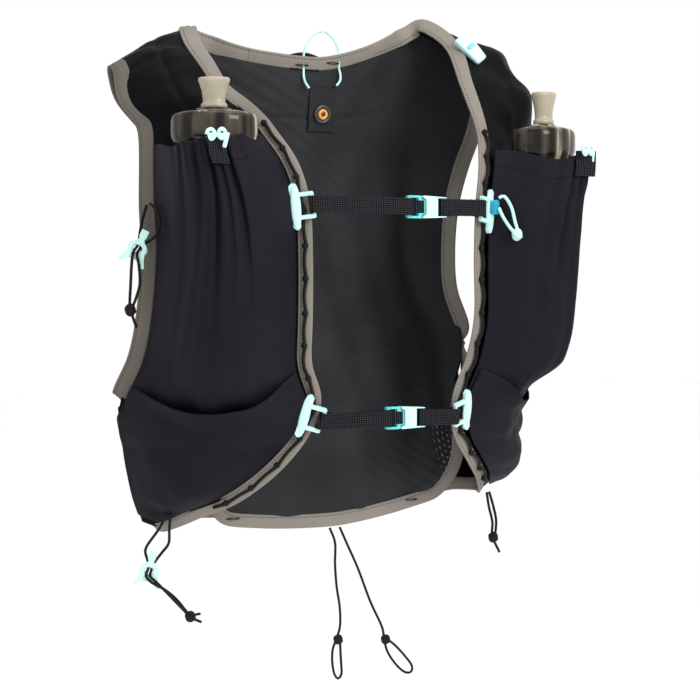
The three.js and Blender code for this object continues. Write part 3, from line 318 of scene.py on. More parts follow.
def flow(rows, columns, share):
    share = np.clip(np.asarray(share, float), 0, 1)
    last = len(rows) - 1
    i = np.minimum((share * last).astype(int), last - 1)
    f = (share * last - i)[..., None]
    padded = np.vstack([2 * rows[0] - rows[1], rows, 2 * rows[-1] - rows[-2]])[:, columns]
    a, b, c, d = (padded[i + k] for k in range(4))
    return b + 0.5 * f * (c - a + f * (2 * a - 5 * b + 4 * c - d + f * (3 * (b - c) + d - a)))


def smooth(t):
    t = np.clip(t, 0, 1)
    return t * t * (3 - 2 * t)


def unit(v):
    return v / np.maximum(np.linalg.norm(v, axis=-1, keepdims=True), 1e-9)


def panel_frame(v):
    front = flow(PANEL, [0, 1, 2], v) * SIZES
    across = flow(PANEL, [3, 4, 5], v) * SIZES - front
    ahead, behind = np.minimum(v + 0.01, 1), np.maximum(v - 0.01, 0)

    def middle(t):
        return (flow(PANEL, [0, 1, 2], t) + flow(PANEL, [3, 4, 5], t)) * SIZES

    out = unit(np.cross(middle(ahead) - middle(behind), across))
    return front, across, out


def panel_surface(u, v):
    """A front panel: u runs from the front edge to the armhole, v from the shoulder to the hem."""
    u, v = np.broadcast_arrays(np.asarray(u, float), np.asarray(v, float))
    front, across, out = panel_frame(v)
    rise = flow(PANEL, [6], v) * PANEL_BULGE * np.sin(np.pi * np.clip(u, 0, 1))[..., None]
    return front + across * u[..., None] + out * rise


def back_surface(u, v):
    """The back: u runs from the wearer's right to the left, v from the nape to the hem."""
    u, v = np.broadcast_arrays(np.asarray(u, float), np.asarray(v, float))
    side = np.where(u < 0, -1, 1)
    s = np.abs(u)
    mid = flow(BACK, [0, 1], v)
    neck = flow(BACK, [2, 3, 4], v) * SIZES
    edge = flow(BACK, [5, 6, 7], v) * SIZES
    mid_y, mid_z = -mid[..., 0] * DEPTH, -mid[..., 1] * DROP
    a = np.minimum(s / NECK_SHARE, 1)
    t = np.clip((s - NECK_SHARE) / (1 - NECK_SHARE), 0, None)
    slope = 2 * (neck[..., 1] - mid_y) * (1 - NECK_SHARE) / NECK_SHARE
    bent = neck[..., 1] + slope * t + (edge[..., 1] - neck[..., 1] - slope) * t * t
    flat = neck[..., 1] + (edge[..., 1] - neck[..., 1]) * t
    outer_y = flat + (bent - flat) * np.clip(v * 4, 0, 1)
    inner = s <= NECK_SHARE
    x = np.where(inner, neck[..., 0] * a, neck[..., 0] + (edge[..., 0] - neck[..., 0]) * t)
    y = np.where(inner, mid_y + (neck[..., 1] - mid_y) * a * a, outer_y)
    z_in = mid_z + (neck[..., 2] - mid_z) * a**1.5
    z = np.where(inner, z_in, neck[..., 2] + (edge[..., 2] - neck[..., 2]) * t)
    return np.stack([side * x, y, z], -1)


def normal_of(surface, u, v):
    e = 0.004
    du = surface(u + e, v) - surface(u - e, v)
    dv = surface(u, np.minimum(v + e, 1)) - surface(u, np.maximum(v - e, 0))
    return unit(np.cross(dv, du))


def wing_surface(u, v):
    """The strip under the arm, from the front panel's edge to the back's."""
    u, v = np.broadcast_arrays(np.asarray(u, float), np.asarray(v, float))
    seam = flow(PANEL, [3, 4, 5], ARM_END + (1 - ARM_END) * v) * SIZES
    share = WING_TOP + (0.955 - WING_TOP) * v
    back = back_surface(0.93 + 0 * share, share)
    back = back - normal_of(back_surface, 0.93 + 0 * share, share) * 2.3
    swing = np.sin(np.pi * np.clip(u, 0, 1))
    point = seam + (back - seam) * u[..., None]
    point[..., 1] += WING_BULGE * swing * (1 - 0.65 * v)
    point[..., 2] -= WING_BULGE * 0.4 * swing * (1 - v)
    return point


print("armhole ends", round(-float(panel_surface(1.0, ARM_END)[2])), "mm below the nape")

# %% [markdown]
# ## How it hangs
# The photographed vest isn't quite even: one shoulder stands out, one waist sits closer, and the
# front corners curl up. Changing the tables would spoil both sides, so a last step moves the
# points of every soft piece. Cloth, tapes and rail cords all pass through it and stay together.

# %% Hang of the vest, in millimetres
shoulder_in, shoulder_tilt, hem_tilt = 9, 0.09, 0.06
ridge_lift = {-1: 4.5, 1: 3.0}
corner_lift, far_ridge_drop = 9, 7
near_side_out, far_shoulder_out, far_waist_in = 6, 9, 18


def hump(at, middle, spread):
    return np.exp(-(((at - middle) / spread) ** 2))


def side_set(x, y, z, side):
    """How far each side stands out beyond the tables. The far waist sits closer to the body."""
    if side < 0:
        behind = smooth((y + 8) / 10) * smooth((-x - 125) / 25)
        return near_side_out * behind * hump(z, -32, 15)
    waist = smooth((-238 - z) / 22) * (1 - smooth((-266 - z) / 70))
    shoulder = far_shoulder_out * hump(z, -30, 24) * smooth((x - 110) / 40)
    return shoulder - far_waist_in * waist * smooth((x - 95) / 60)


def worn(points, side):
    """Points of the wearer's left turned to one side of the vest, and hung as in the photo."""
    x, y, z = np.moveaxis(np.asarray(points, float), -1, 0)
    x = x * side
    out = np.abs(x)
    # high is one at the shoulders and low is one at the hem
    high = smooth((z + 65) / 45)
    low = smooth((-290 - z) / 80)
    ridge = ridge_lift[side] * hump(out, 108, 26) * smooth((z + 22) / 20)
    new_x = x - shoulder_in * high * smooth(out / 90) + side_set(x, y, z, side)
    z = z + (shoulder_tilt * high + hem_tilt * low) * x + ridge
    z = z + corner_lift * smooth((-332 - z) / 34) * smooth((out - 84) / 44)
    if side > 0:
        z = z - far_ridge_drop * smooth((x - 118) / 35) * smooth((z + 30) / 30)
    return np.stack([new_x, y, z], -1)


def worn_normals(points, normals, side):
    return unit(worn(points + normals, side) - worn(points, side))


corner = worn(panel_surface(0.0, 1.0), -1)
print("near front corner at", corner.round(1))

# %% [markdown]
# ## Sheets of cloth
# A sheet is a fine grid on one of those surfaces. A cloth simulation could drape it, but these
# panels are stretched between their tapes and hardly fall, so creases are added by code. The
# UV map is in metres of cloth, so a weave or a row of stitches has its real size. Solidify
# gives the sheet the thickness of the cloth. Below, u and v are places on a surface, and a and
# b are shares of one piece of cloth, across it and down it.

# %% Grid of points to a sheet with thickness
def lengths_along(points, axis):
    step = np.linalg.norm(np.diff(points, axis=axis), axis=-1)
    zero = np.zeros_like(np.take(step, [0], axis))
    return np.concatenate([zero, np.cumsum(step, axis)], axis)


def cloth_sheet(name, points, thick, flip=False):
    rows, cols = points.shape[:2]
    index = np.arange(rows * cols).reshape(rows, cols)
    quads = np.stack([index[:-1, :-1], index[:-1, 1:], index[1:, 1:], index[1:, :-1]], -1)
    quads = quads.reshape(-1, 4)
    if flip:
        quads = quads[:, ::-1]
    mesh = bpy.data.meshes.new(name)
    mesh.from_pydata((points.reshape(-1, 3) * MM).tolist(), [], quads.tolist())
    across = lengths_along(points, 1) * MM
    along = lengths_along(points, 0) * MM
    flat = np.stack([across, along], -1).reshape(-1, 2)
    layer = mesh.uv_layers.new(name="cloth")
    corners = np.empty(len(mesh.loops), dtype=np.int32)
    mesh.loops.foreach_get("vertex_index", corners)
    layer.data.foreach_set("uv", flat[corners].ravel())
    mesh.shade_smooth()
    piece = into_scene(name, mesh)
    wall = piece.modifiers.new("cloth thickness", "SOLIDIFY")
    wall.thickness = thick * MM
    wall.offset = 0
    pick(piece)
    bpy.ops.object.modifier_apply(modifier=wall.name)
    return piece


def declare_cloth(piece, points, node):
    width = float(np.median(lengths_along(points, 1)[:, -1])) * MM
    length = float(np.median(lengths_along(points, 0)[-1])) * MM
    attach(piece, "root")
    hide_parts(node)
    print(piece.name, "cut", round(width * 1000), "x", round(length * 1000), "mm")
    return piece


# %% Creases, and the normals of a grid
def creases(points, seed, size, depth):
    rng = np.random.default_rng(seed)
    p = points / size
    total = np.zeros(points.shape[:2])
    for k in range(5):
        way = rng.normal(size=3) * (1 + 0.5 * k)
        total += np.sin(p @ way * 2.2 + rng.uniform(0, 6.3)) / (1 + 0.8 * k)
    return total * depth / 2.2


def grid_normals(points):
    du = np.gradient(points, axis=1)
    dv = np.gradient(points, axis=0)
    return unit(np.cross(dv, du))


def grid(across, down):
    """Two even runs of numbers, each given as (count, from, to), spread over a grid."""
    count_u, from_u, to_u = across
    count_v, from_v, to_v = down
    return np.meshgrid(np.linspace(from_u, to_u, count_u), np.linspace(from_v, to_v, count_v))


def swell(share):
    """Nothing at both ends of a share and one in its middle."""
    return np.sin(np.pi * share)


print("sheet tools ready")

# %% [markdown]
# ## Front panels
# Each front panel is one piece of knit mesh from the shoulder ridge to the hem. It could be
# cut from the whole surface, but its edges must lie under the tapes, so the grid starts and
# ends a little way in from each edge. Soft creases run over the shoulder, and the far shoulder
# puffs up where the strap is slack.

# %% Where the cloth starts and ends under its tapes
def panel_inset(v, distance, edge):
    """A distance from one edge of a front panel, as a share of the panel's width."""
    _, across, _ = panel_frame(v)
    columns = [0, 1, 2] if edge == "front" else [3, 4, 5]
    ahead, behind = np.minimum(v + 0.01, 1), np.maximum(v - 0.01, 0)
    tangent = unit((flow(PANEL, columns, ahead) - flow(PANEL, columns, behind)) * SIZES)
    slant = np.linalg.norm(np.cross(unit(across), tangent), axis=-1)
    return distance / (np.linalg.norm(across, axis=-1) * np.maximum(slant, 0.35))


def panel_across(v, front_room, arm_room, wing_room):
    """Both ends of the cloth. Below the armhole the edge is a plain seam with less room."""
    start = panel_inset(v, front_room, "front")
    seam = smooth((v - ARM_END) / 0.03)
    end = panel_inset(v, arm_room, "arm") * (1 - seam) + panel_inset(v, wing_room, "arm") * seam
    return start, 1 - end


print("tape covers", round(float(panel_inset(0.5, TAPE / 2, "front")), 3), "of the width at mid panel")

# %% Front panels
mesh_thick = 0.9
crease_width, crease_depth, fold_depth = 26, 2.2, 1.6
near_ridge_lift, far_puff = 5.0, 9


def front_panel(side, suffix):
    a, v = grid((56, 0, 1), (150, 0, 0.995))
    start, end = panel_across(v, 1.5, 2.0, 0.6)
    u = start + (end - start) * a
    normals = normal_of(panel_surface, u, v)
    loose = swell(a) * (1 - smooth((v - 0.34) / 0.08)) * smooth(v / 0.05)
    fold = hump(a - 0.25 * v, 0.42, 0.06) * smooth(v / 0.1)
    points = panel_surface(u, v)
    lift = creases(points, 4 + side, crease_width, crease_depth) * loose - fold_depth * fold * loose
    if side < 0:
        lift = lift + near_ridge_lift * hump(v, 0, 0.07) * swell(a)
    else:
        puff = smooth((a - 0.3) / 0.4) * smooth((1.02 - a) / 0.12)
        puff = puff * smooth((v - 0.04) / 0.12) * (1 - smooth((v - 0.26) / 0.1))
        curl = np.sin(v * 60 + a * 7) * 1.6 + np.sin(v * 31 - a * 9) * 1.4
        lift = lift + (far_puff + curl) * puff
    points = worn(points + normals * lift[..., None], side)
    piece = cloth_sheet(f"front_mesh_{suffix}", points, mesh_thick, side > 0)
    return declare_cloth(piece, points, f"front_panel_{suffix}")


front_meshes = [front_panel(-1, "right"), front_panel(1, "left")]

# %% [markdown]
# ## Back, flanks and pouch
# The back is one mesh sheet from the nape to the hem, with two sewn lines across it. Behind it
# lies a stretch pouch with an open top, and narrow wings join the back to the front panels
# under the arms. All are grids on the same surfaces, so their edges meet without fitting.

# %% Back panel
upper_seam_at, lower_seam_at, seam_half, seam_depth = -40, -212, 1.4, 1.1


def back_panel():
    u, v = grid((140, -0.985, 0.985), (140, 0, 0.992))
    points = back_surface(u, v)
    normals = normal_of(back_surface, u, v)
    soft = smooth((1 - np.abs(u)) / 0.15) * smooth(v / 0.08) * smooth((1 - v) / 0.06)
    long_folds = np.sin(u * 21 + 3 * np.sin(v * 5)) * 0.8 + np.sin(u * 9 - v * 7) * 1.2
    lift = (creases(points, 7, 24, 2.4) + long_folds * smooth((v - 0.15) / 0.2)) * soft
    seam = hump(points[..., 2] + 4 * np.cos(u * 4), upper_seam_at, seam_half)
    seam += hump(points[..., 2] - 8 * u, lower_seam_at, seam_half)
    points = worn(points + normals * (lift - seam_depth * seam * soft)[..., None], 1)
    piece = cloth_sheet("back_mesh", points, mesh_thick)
    return declare_cloth(piece, points, "back_panel")


back_mesh = back_panel()

# %% Pouch and wings
pouch_gap, pouch_fullness, stretch_thick = 3.3, 15, 0.8


def back_pouch():
    a, b = grid((70, 0, 1), (80, 0, 1))
    u, v = -0.8 + 1.6 * a, 0.1 + 0.83 * b
    outwards = -normal_of(back_surface, u, v)
    rise = (0.4 + 0.6 * smooth(b / 0.3)) * (1 - smooth((b - 0.7) / 0.3))
    lift = pouch_gap + pouch_fullness * rise * swell(a) ** 0.7
    points = back_surface(u, v) + outwards * lift[..., None]
    points = points + outwards * (creases(points, 9, 40, 1.2) * swell(a))[..., None]
    points = worn(points, 1)
    piece = cloth_sheet("pouch_cloth", points, stretch_thick, True)
    return declare_cloth(piece, points, "back_pouch")


def side_wing(side, suffix):
    u, v = grid((40, 0.01, 1), (50, 0.05, 1))
    points = worn(wing_surface(u, v), side)
    piece = cloth_sheet(f"wing_mesh_{suffix}", points, mesh_thick, side > 0)
    return declare_cloth(piece, points, f"side_wing_{suffix}")


pouch_cloth = back_pouch()
wing_meshes = [side_wing(-1, "right"), side_wing(1, "left")]

# %% [markdown]
# ## Chest pockets
# A stretch pocket grips a flask on each side, and a lower pocket laps over its foot. A pocket
# could be draped over the flask, but a simulation loses the neat rim. Short tables say how far
# it stands out from the panel instead, down its length and across its width. Elastic in the
# rim gathers the cloth, so short ripples start there and pleats run down from it.

# %% Depth of the pockets, at shares of the panel's length and of the pocket's width
BOTTLE_DOWN = [0.358, 0.392, 0.469, 0.541, 0.602, 0.632, 0.659, 0.681, 0.7, 0.718, 0.737]
BOTTLE_DEPTH = [1, 0.98, 0.93, 0.86, 0.76, 0.64, 0.48, 0.34, 0.22, 0.12, 0.02]
SECTION_AT = [0, 0.1, 0.22, 0.4, 0.6, 0.8, 0.92, 1]
SECTION = [0, 0.5, 0.84, 1, 0.84, 0.48, 0.2, 0]
LOWER_RIM_AT = [0, 0.2, 0.4, 0.6, 0.8, 1]
LOWER_RIM = [0.63, 0.662, 0.68, 0.679, 0.671, 0.662]
LOWER_DOWN = [0.632, 0.659, 0.681, 0.7, 0.748, 0.797, 0.841, 0.881, 0.919, 0.965]
LOWER_DEPTH = [2.6, 2.05, 1.5, 1.15, 0.95, 0.87, 0.73, 0.48, 0.2, 0.03]
LOWER_SECTION_AT = [0, 0.12, 0.28, 0.45, 0.62, 0.8, 1]
LOWER_SECTION = [0, 0.62, 0.98, 1.02, 0.86, 0.54, 0]
bottle_depth, lower_depth, pocket_thick = 66, 19, 0.7
pleat_depth, rim_ripple, foot_tuck = 7.0, 0.9, 2.6
# each pleat: rim and foot as shares of the pocket's width, half width, share of the full depth
PLEATS = [(0.3, 0.17, 0.024, 1.0), (0.4, 0.52, 0.026, 1.0), (0.2, 0.08, 0.02, 0.4)]
PLEATS += [(0.52, 0.7, 0.03, 0.5), (0.66, 0.8, 0.03, 0.35), (0.35, 0.34, 0.02, 0.5)]
print("pleats on each bottle pocket:", len(PLEATS))

# %% Pocket surface over a front panel
def eased(keys, values, at):
    """A smooth reading of a short table: the mean of five nearby straight readings."""
    gap = 0.35 * float(np.min(np.diff(keys)))
    return sum(np.interp(at + k * gap, keys, values) for k in (-1, -0.5, 0, 0.5, 1)) / 5


def pocket_surface(a, v, lift, depth):
    """The panel's surface, lifted clear of it and then pushed forward by the pocket's depth."""
    start, end = panel_across(v, TAPE / 2 + 0.9, ARM_TAPE / 2 + 0.8, 1.2)
    u = start + (end - start) * a
    _, _, out = panel_frame(v)
    normals = normal_of(panel_surface, u, v)
    return panel_surface(u, v) + normals * lift[..., None] + out * depth[..., None]


print("a bottle pocket is deepest at", BOTTLE_DOWN[0], "of the panel's length")

# %% Bottle pockets
def rim_droop(a, side):
    """How the rim leaves a straight line, as a share of the panel's length."""
    if side > 0:
        return 0.025 * smooth(a / 0.16) - 0.0135 - 0.006 * smooth((a - 0.22) / 0.12)
    return 0.004 - 0.026 * (1 - smooth(a / 0.24)) - 0.02 * smooth((a - 0.72) / 0.28)


def bottle_pocket(side, suffix):
    a, b = grid((110, 0, 1), (120, 0, 1))
    rim = BOTTLE_DOWN[0] + 0.008 * swell(a) + rim_droop(a, side)
    v = rim + (BOTTLE_DOWN[-1] - rim) * b
    pleats = np.zeros_like(a)
    for top, foot, wide, deep in PLEATS:
        spread = wide * (0.55 + 1.3 * b)
        pleats += deep * hump(a, top + (foot - top) * b, spread) * (1 - smooth(b / 0.85))
    section = eased(SECTION_AT, SECTION, a)
    depth = bottle_depth * eased(BOTTLE_DOWN, BOTTLE_DEPTH, v) * section
    ripple = np.sin(a * 110 + 2.5 * np.sin(a * 13)) * rim_ripple * np.exp(-b / 0.07) * swell(a)
    depth = depth - pleat_depth * pleats * np.minimum(1, section * 2) + ripple
    points = pocket_surface(a, v, np.full_like(a, 2.3), depth)
    normals = grid_normals(points)
    lift = creases(points * (1, 1, 0.35), 21 + side, 20, 1.2) * swell(a) * smooth(b / 0.1)
    tuck = np.sin(a * 26 + b * 9) * foot_tuck * smooth((b - 0.7) / 0.2) * swell(a)
    points = worn(points + normals * (lift + tuck)[..., None], side)
    piece = cloth_sheet(f"flask_pocket_{suffix}", points, pocket_thick, side > 0)
    return declare_cloth(piece, points, f"bottle_pocket_{suffix}")


bottle_pockets = [bottle_pocket(-1, "right"), bottle_pocket(1, "left")]

# %% Lower pockets
def lower_pocket(side, suffix):
    a, b = grid((90, 0, 1), (70, 0, 1))
    rim = eased(LOWER_RIM_AT, LOWER_RIM, a)
    v = rim + (0.962 - rim) * b
    over = 2.4 * (1 - smooth((v - 0.743) / 0.04))
    depth = lower_depth * eased(LOWER_DOWN, LOWER_DEPTH, v)
    depth = depth * eased(LOWER_SECTION_AT, LOWER_SECTION, a)
    points = pocket_surface(a, v, 2.3 + over, depth)
    normals = grid_normals(points)
    calm = swell(a) * smooth((1 - b) / 0.15)
    lift = creases(points * (0.6, 0.6, 1.2), 31 + side, 26, 1.7) * calm
    pull = np.sin(a * 4 - b * 38) * hump(a, 0.12, 0.22) * smooth((0.5 - b) / 0.2)
    fold = hump(b, 0.1 + 0.05 * np.sin(a * 5), 0.03)
    lift = lift + (0.9 * pull - 0.8 * fold) * calm
    points = worn(points + normals * lift[..., None], side)
    piece = cloth_sheet(f"waist_pocket_{suffix}", points, pocket_thick, side > 0)
    return declare_cloth(piece, points, f"lower_pocket_{suffix}")


lower_pockets = [lower_pocket(-1, "right"), lower_pocket(1, "left")]

# %% [markdown]
# ## Binding tape
# A folded tape closes every raw edge. A flat curve with a bevel would twist on the tight bends,
# so its section, a flat loop with round borders, is swept along the edge by code, facing where
# the cloth faces. Its UV map runs across and along the tape so stitches can follow it.

# %% Even steps along an edge
def along_path(points, step):
    length = np.concatenate([[0], np.cumsum(np.linalg.norm(np.diff(points, axis=0), axis=1))])
    at = np.linspace(0, length[-1], max(2, int(length[-1] / step)) + 1)
    return np.stack([np.interp(at, length, points[:, k]) for k in range(3)], -1), at


def blur(values, times, closed=False):
    for _ in range(times):
        if closed:
            values = (np.roll(values, 1, 0) + 2 * values + np.roll(values, -1, 0)) / 4
        else:
            middle = (values[:-2] + 2 * values[1:-1] + values[2:]) / 4
            values = np.concatenate([values[:1], middle, values[-1:]])
    return values


def read_along(at, values):
    """Read rows of values, spread evenly over a length, at given places along it."""
    share = np.linspace(0, at[-1], len(values))
    return np.stack([np.interp(at, share, values[:, k]) for k in range(3)], -1)


print("tape:", TAPE, "mm wide,", TAPE_THICK, "mm thick")

# %% Tape swept along an edge
def tape_section(width, thick):
    """A flat loop with round borders, and a low step where one border is turned in."""
    h, t = width / 2, thick / 2
    under = [(-h, 0), (-h * 0.97, -t * 0.7), (-h * 0.8, -t), (0, -t), (h * 0.8, -t)]
    border = [(h * 0.97, -t * 0.7), (h, 0), (h * 0.97, t * 0.7), (h * 0.8, t)]
    step = [(h * 0.62, t * 0.62), (h * 0.45, t), (0, t), (-h * 0.8, t), (-h * 0.97, t * 0.7)]
    return under + border + step


def tape_faces(section, at, closed):
    """Quads between the rings, each with its own UV corners in metres of tape."""
    sides, count = len(section), len(at)
    faces, uvs = [], []
    for j in range(count if closed else count - 1):
        n = (j + 1) % count
        for i in range(sides):
            k = (i + 1) % sides
            faces.append((j * sides + i, j * sides + k, n * sides + k, n * sides + i))
            x0, x1 = section[i][0] * MM, section[k][0] * MM
            y0 = at[j] * MM
            y1 = y0 + TAPE_STEP * MM
            uvs += [(x0, y0), (x1, y0), (x1, y1), (x0, y1)]
    if not closed:
        first = list(range(sides))
        faces += [tuple(first[::-1]), tuple((count - 1) * sides + i for i in first)]
        uvs += [(0, 0)] * (2 * sides)
    return faces, uvs


def tape_strip(name, path, normals, width, closed, smoothing, wider):
    points, at = along_path(path, TAPE_STEP)
    ups = read_along(at, normals)
    if closed:
        points, ups, at = points[:-1], ups[:-1], at[:-1]
    points, ups = blur(points, smoothing, closed), unit(blur(ups, 10, closed))
    if closed:
        tangent = unit(np.roll(points, -1, 0) - np.roll(points, 1, 0))
    else:
        tangent = unit(np.gradient(points, axis=0))
    across = unit(np.cross(tangent, ups))
    ups = unit(np.cross(across, tangent))
    section = tape_section(width, TAPE_THICK)
    # the front tapes lie broader near the shoulder, most of all 45 mm from their start
    fade = smooth(at / 45) * (1 - smooth((at - 45) / (0.25 * at[-1])))
    grown = across * (1 + wider * fade)[:, None]
    rings = np.stack([points + grown * x + ups * y for x, y in section], 1)
    faces, uvs = tape_faces(section, at, closed)
    mesh = bpy.data.meshes.new(name)
    mesh.from_pydata((rings.reshape(-1, 3) * MM).tolist(), [], faces)
    layer = mesh.uv_layers.new(name="cloth")
    layer.data.foreach_set("uv", np.array(uvs).ravel())
    mesh.shade_smooth()
    piece = into_scene(name, mesh)
    pick(piece)
    bpy.ops.object.mode_set(mode="EDIT")
    bpy.ops.mesh.select_all(action="SELECT")
    bpy.ops.mesh.normals_make_consistent(inside=False)
    bpy.ops.object.mode_set(mode="OBJECT")
    return piece, at[-1]


def sewn_tape(name, node, path, normals, width=TAPE, closed=False, smoothing=6, wider=0):
    piece, length = tape_strip(name, path, normals, width, closed, smoothing, wider)
    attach(piece, "root")
    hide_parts(node)
    print(name, "length", round(length), "mm")
    return piece


# %% [markdown]
# ## Where the tapes run
# One tape goes round the neck, one along the hem, one down each front edge from the neck line,
# and one in a closed ring round each armhole. Each path is read from the edges of the surfaces,
# so the tape covers the rim of the cloth. Tapes laid flat on the cloth would be simpler, but
# their ends would show. Near the neck the front tape is turned to face forwards, because there
# it folds over the shoulder's edge.

# %% Neck and hem tapes
def neck_tape():
    u = np.linspace(-0.55 * NECK_SHARE, 0.55 * NECK_SHARE, 40)
    path = back_surface(u, 0 * u)
    normals = worn_normals(path, -normal_of(back_surface, u, 0 * u + 0.01), 1)
    return sewn_tape("neck_tape", "neck_binding", worn(path, 1), normals)


def hem_tape():
    down = np.linspace(0.8, 0.985, 14)
    u = np.concatenate([0 * down - 1, np.linspace(-0.97, 0.97, 60), 0 * down + 1])
    v = np.concatenate([down, np.ones(60), down[::-1]])
    path = back_surface(u, v)
    normals = worn_normals(path, -normal_of(back_surface, u * 0.98, np.minimum(v, 0.99)), 1)
    return sewn_tape("hem_tape", "hem_binding", worn(path, 1), normals)


tapes = [neck_tape(), hem_tape()]

# %% Front and armhole tapes
def front_tape(side, suffix):
    w = np.linspace(0.5, 0.985, 8) * NECK_SHARE
    v = np.linspace(0.004, 1, 120)
    u = np.linspace(0.12, 0.93, 12)
    turned = (0.8 * (1 - smooth((v - 0.05) / 0.3)))[:, None]
    facing = np.array([-0.35 * side, -0.9, 0.25])
    ahead = 5.0 if side < 0 else 1.5
    edge = panel_surface(0 * v, v) + facing * turned * ahead * smooth(v / 0.03)[:, None]
    foot = wing_surface(u, 0 * u + 1) - np.array([0, 0, TAPE / 2 - 2])
    path = np.concatenate([back_surface(w, 0 * w), edge, foot])
    own = normal_of(panel_surface, 0 * v + 0.01, v)
    neck_normals = normal_of(back_surface, w, 0 * w + 0.01)
    edge_normals = unit(own * (1 - turned) + facing * turned)
    foot_normals = normal_of(wing_surface, u, 0 * u + 0.98)
    normals = worn_normals(path, np.concatenate([neck_normals, edge_normals, foot_normals]), side)
    name, node = f"front_tape_{suffix}", f"front_binding_{suffix}"
    return sewn_tape(name, node, worn(path, side), normals, wider=0.3)


def armhole_tape(side, suffix):
    v = np.linspace(0.03, ARM_END, 60)
    u = np.linspace(0.1, 0.9, 10)
    w = np.linspace(WING_TOP, 0.04, 50)
    one = np.ones_like(v)
    path = [panel_surface(one, v), wing_surface(u, 0 * u), back_surface(0 * w + 1, w)]
    normals = [
        normal_of(panel_surface, one * 0.99, v),
        normal_of(wing_surface, u, 0 * u + 0.02),
        -normal_of(back_surface, 0 * w + 0.98, w),
    ]
    path = np.concatenate([*path, path[0][:1]])
    normals = worn_normals(path, np.concatenate([*normals, normals[0][:1]]), side)
    name, node = f"armhole_tape_{suffix}", f"armhole_binding_{suffix}"
    return sewn_tape(name, node, worn(path, side), normals, ARM_TAPE, True, 8)


for side, suffix in ((-1, "right"), (1, "left")):
    tapes += [front_tape(side, suffix), armhole_tape(side, suffix)]

# %% [markdown]
# ## Rail cords
# A round elastic cord is caught by the front tape every 25 mm, and the slider rides on it. The
# cord is a curve that bows out a little between its stitched points, because a straight one
# would look glued on. Small lumps of thread hold it down.

# %% Rail cords
tack_every, tack_radius, rail_thick = 25.0, 2.4, 2.6
rail_sag = {-1: 1.6, 1: 3.4}


def rail_cord(side, suffix):
    v = np.linspace(0.31, 0.9, 160)
    normals = normal_of(panel_surface, 0 * v + 0.01, v)
    points, at = along_path(panel_surface(0 * v, v) + normals * 3.0, 1.5)
    ups = read_along(at, normals)
    across = unit(np.cross(unit(np.gradient(points, axis=0)), ups))
    bow = np.abs(np.sin(np.pi * at / tack_every))
    route = points - across * (rail_sag[side] * bow - 0.8)[:, None] + ups * (0.5 * bow)[:, None]
    piece = cord_curve(f"rail_elastic_{suffix}", worn(route, side), rail_thick)
    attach(piece, "root")
    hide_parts(f"rail_cord_{suffix}")
    stops = [int(np.argmin(np.abs(at - k))) for k in np.arange(0, at[-1], tack_every)]
    return [piece, rail_tacks(worn(points[stops], side), suffix)]


def rail_tacks(places, suffix):
    """A round lump of thread at each place, all joined into one piece."""
    tacks = []
    for place in places * MM:
        bpy.ops.object.select_all(action="DESELECT")
        bpy.ops.mesh.primitive_uv_sphere_add(
            segments=12, ring_count=8, radius=tack_radius * MM, location=place
        )
        bpy.ops.object.transform_apply(location=True, rotation=True, scale=True)
        bpy.ops.object.shade_smooth()
        tacks.append(bpy.context.object)
    pick(tacks[0])
    for tack in tacks:
        tack.select_set(True)
    bpy.ops.object.join()
    joined = bpy.context.object
    joined.name = f"rail_tacks_{suffix}"
    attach(joined, "root")
    print(joined.name, "with", len(tacks), "tacks")
    return joined


rails = rail_cord(-1, "right") + rail_cord(1, "left")

# %% [markdown]
# ## Laying a piece on its solid
# A fitting is easiest to model upright at the origin and then carry to its place. The solid in
# the frame already stands there: its corners give the middle, and their spread gives the three
# main directions. Typed-in places would be shorter but could drift from the frame.

# %% Middle and main ways of a solid, and a piece laid along them
def node_points(name):
    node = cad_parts[name]
    corners = np.array([node.matrix_world @ corner.co for corner in node.data.vertices])
    return corners / MM


def main_ways(points):
    centre = points.mean(0)
    _, _, ways = np.linalg.svd(points - centre, full_matrices=False)
    return centre, ways


def lay(piece, centre, ways):
    """Turn a piece made round the origin so its x, y and z run along three given ways."""
    turned = np.array(ways).T
    if np.linalg.det(turned) < 0:
        turned[:, 1] *= -1
    rows = [[*turned[k], centre[k] * MM] for k in range(3)]
    pick(piece)
    piece.matrix_world = Matrix([*rows, [0, 0, 0, 1]])
    bpy.ops.object.transform_apply(location=True, rotation=True, scale=True)
    bpy.ops.object.shade_smooth()
    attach(piece, "root")
    return piece


def shaped(name, add, stretch, bevel=0, bevel_segments=3, **options):
    """A primitive at the origin, resized in edit mode, with its edges rounded if asked."""
    bpy.ops.object.select_all(action="DESELECT")
    add(**options)
    piece = bpy.context.object
    piece.name = name
    bpy.ops.object.mode_set(mode="EDIT")
    bpy.ops.mesh.select_all(action="SELECT")
    bpy.ops.transform.resize(value=stretch, center_override=(0, 0, 0))
    if bevel:
        bpy.ops.mesh.bevel(offset=bevel * MM, segments=bevel_segments, affect="EDGES")
    bpy.ops.object.mode_set(mode="OBJECT")
    return piece


def in_place_of(pieces, node):
    for piece in pieces:
        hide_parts(node)
    return pieces


# sideways is to the right in the picture, as the camera sees it
sideways, upward = np.array([0.882, -0.469, 0.0]), np.array([0.0, 0.0, 1.0])
print("whistle solid at", main_ways(node_points("whistle"))[0].round(1))

# %% [markdown]
# ## Soft flasks
# A soft flask is thin clear film with a screw cap and a silicone bite valve. A spin would give
# a round body, but the real one is oval, so a disc is drawn up row by row instead: it is
# extruded, made wider or narrower, and flattened at the end. The real flask is blown up and
# down in the same way, in steps from its seams.

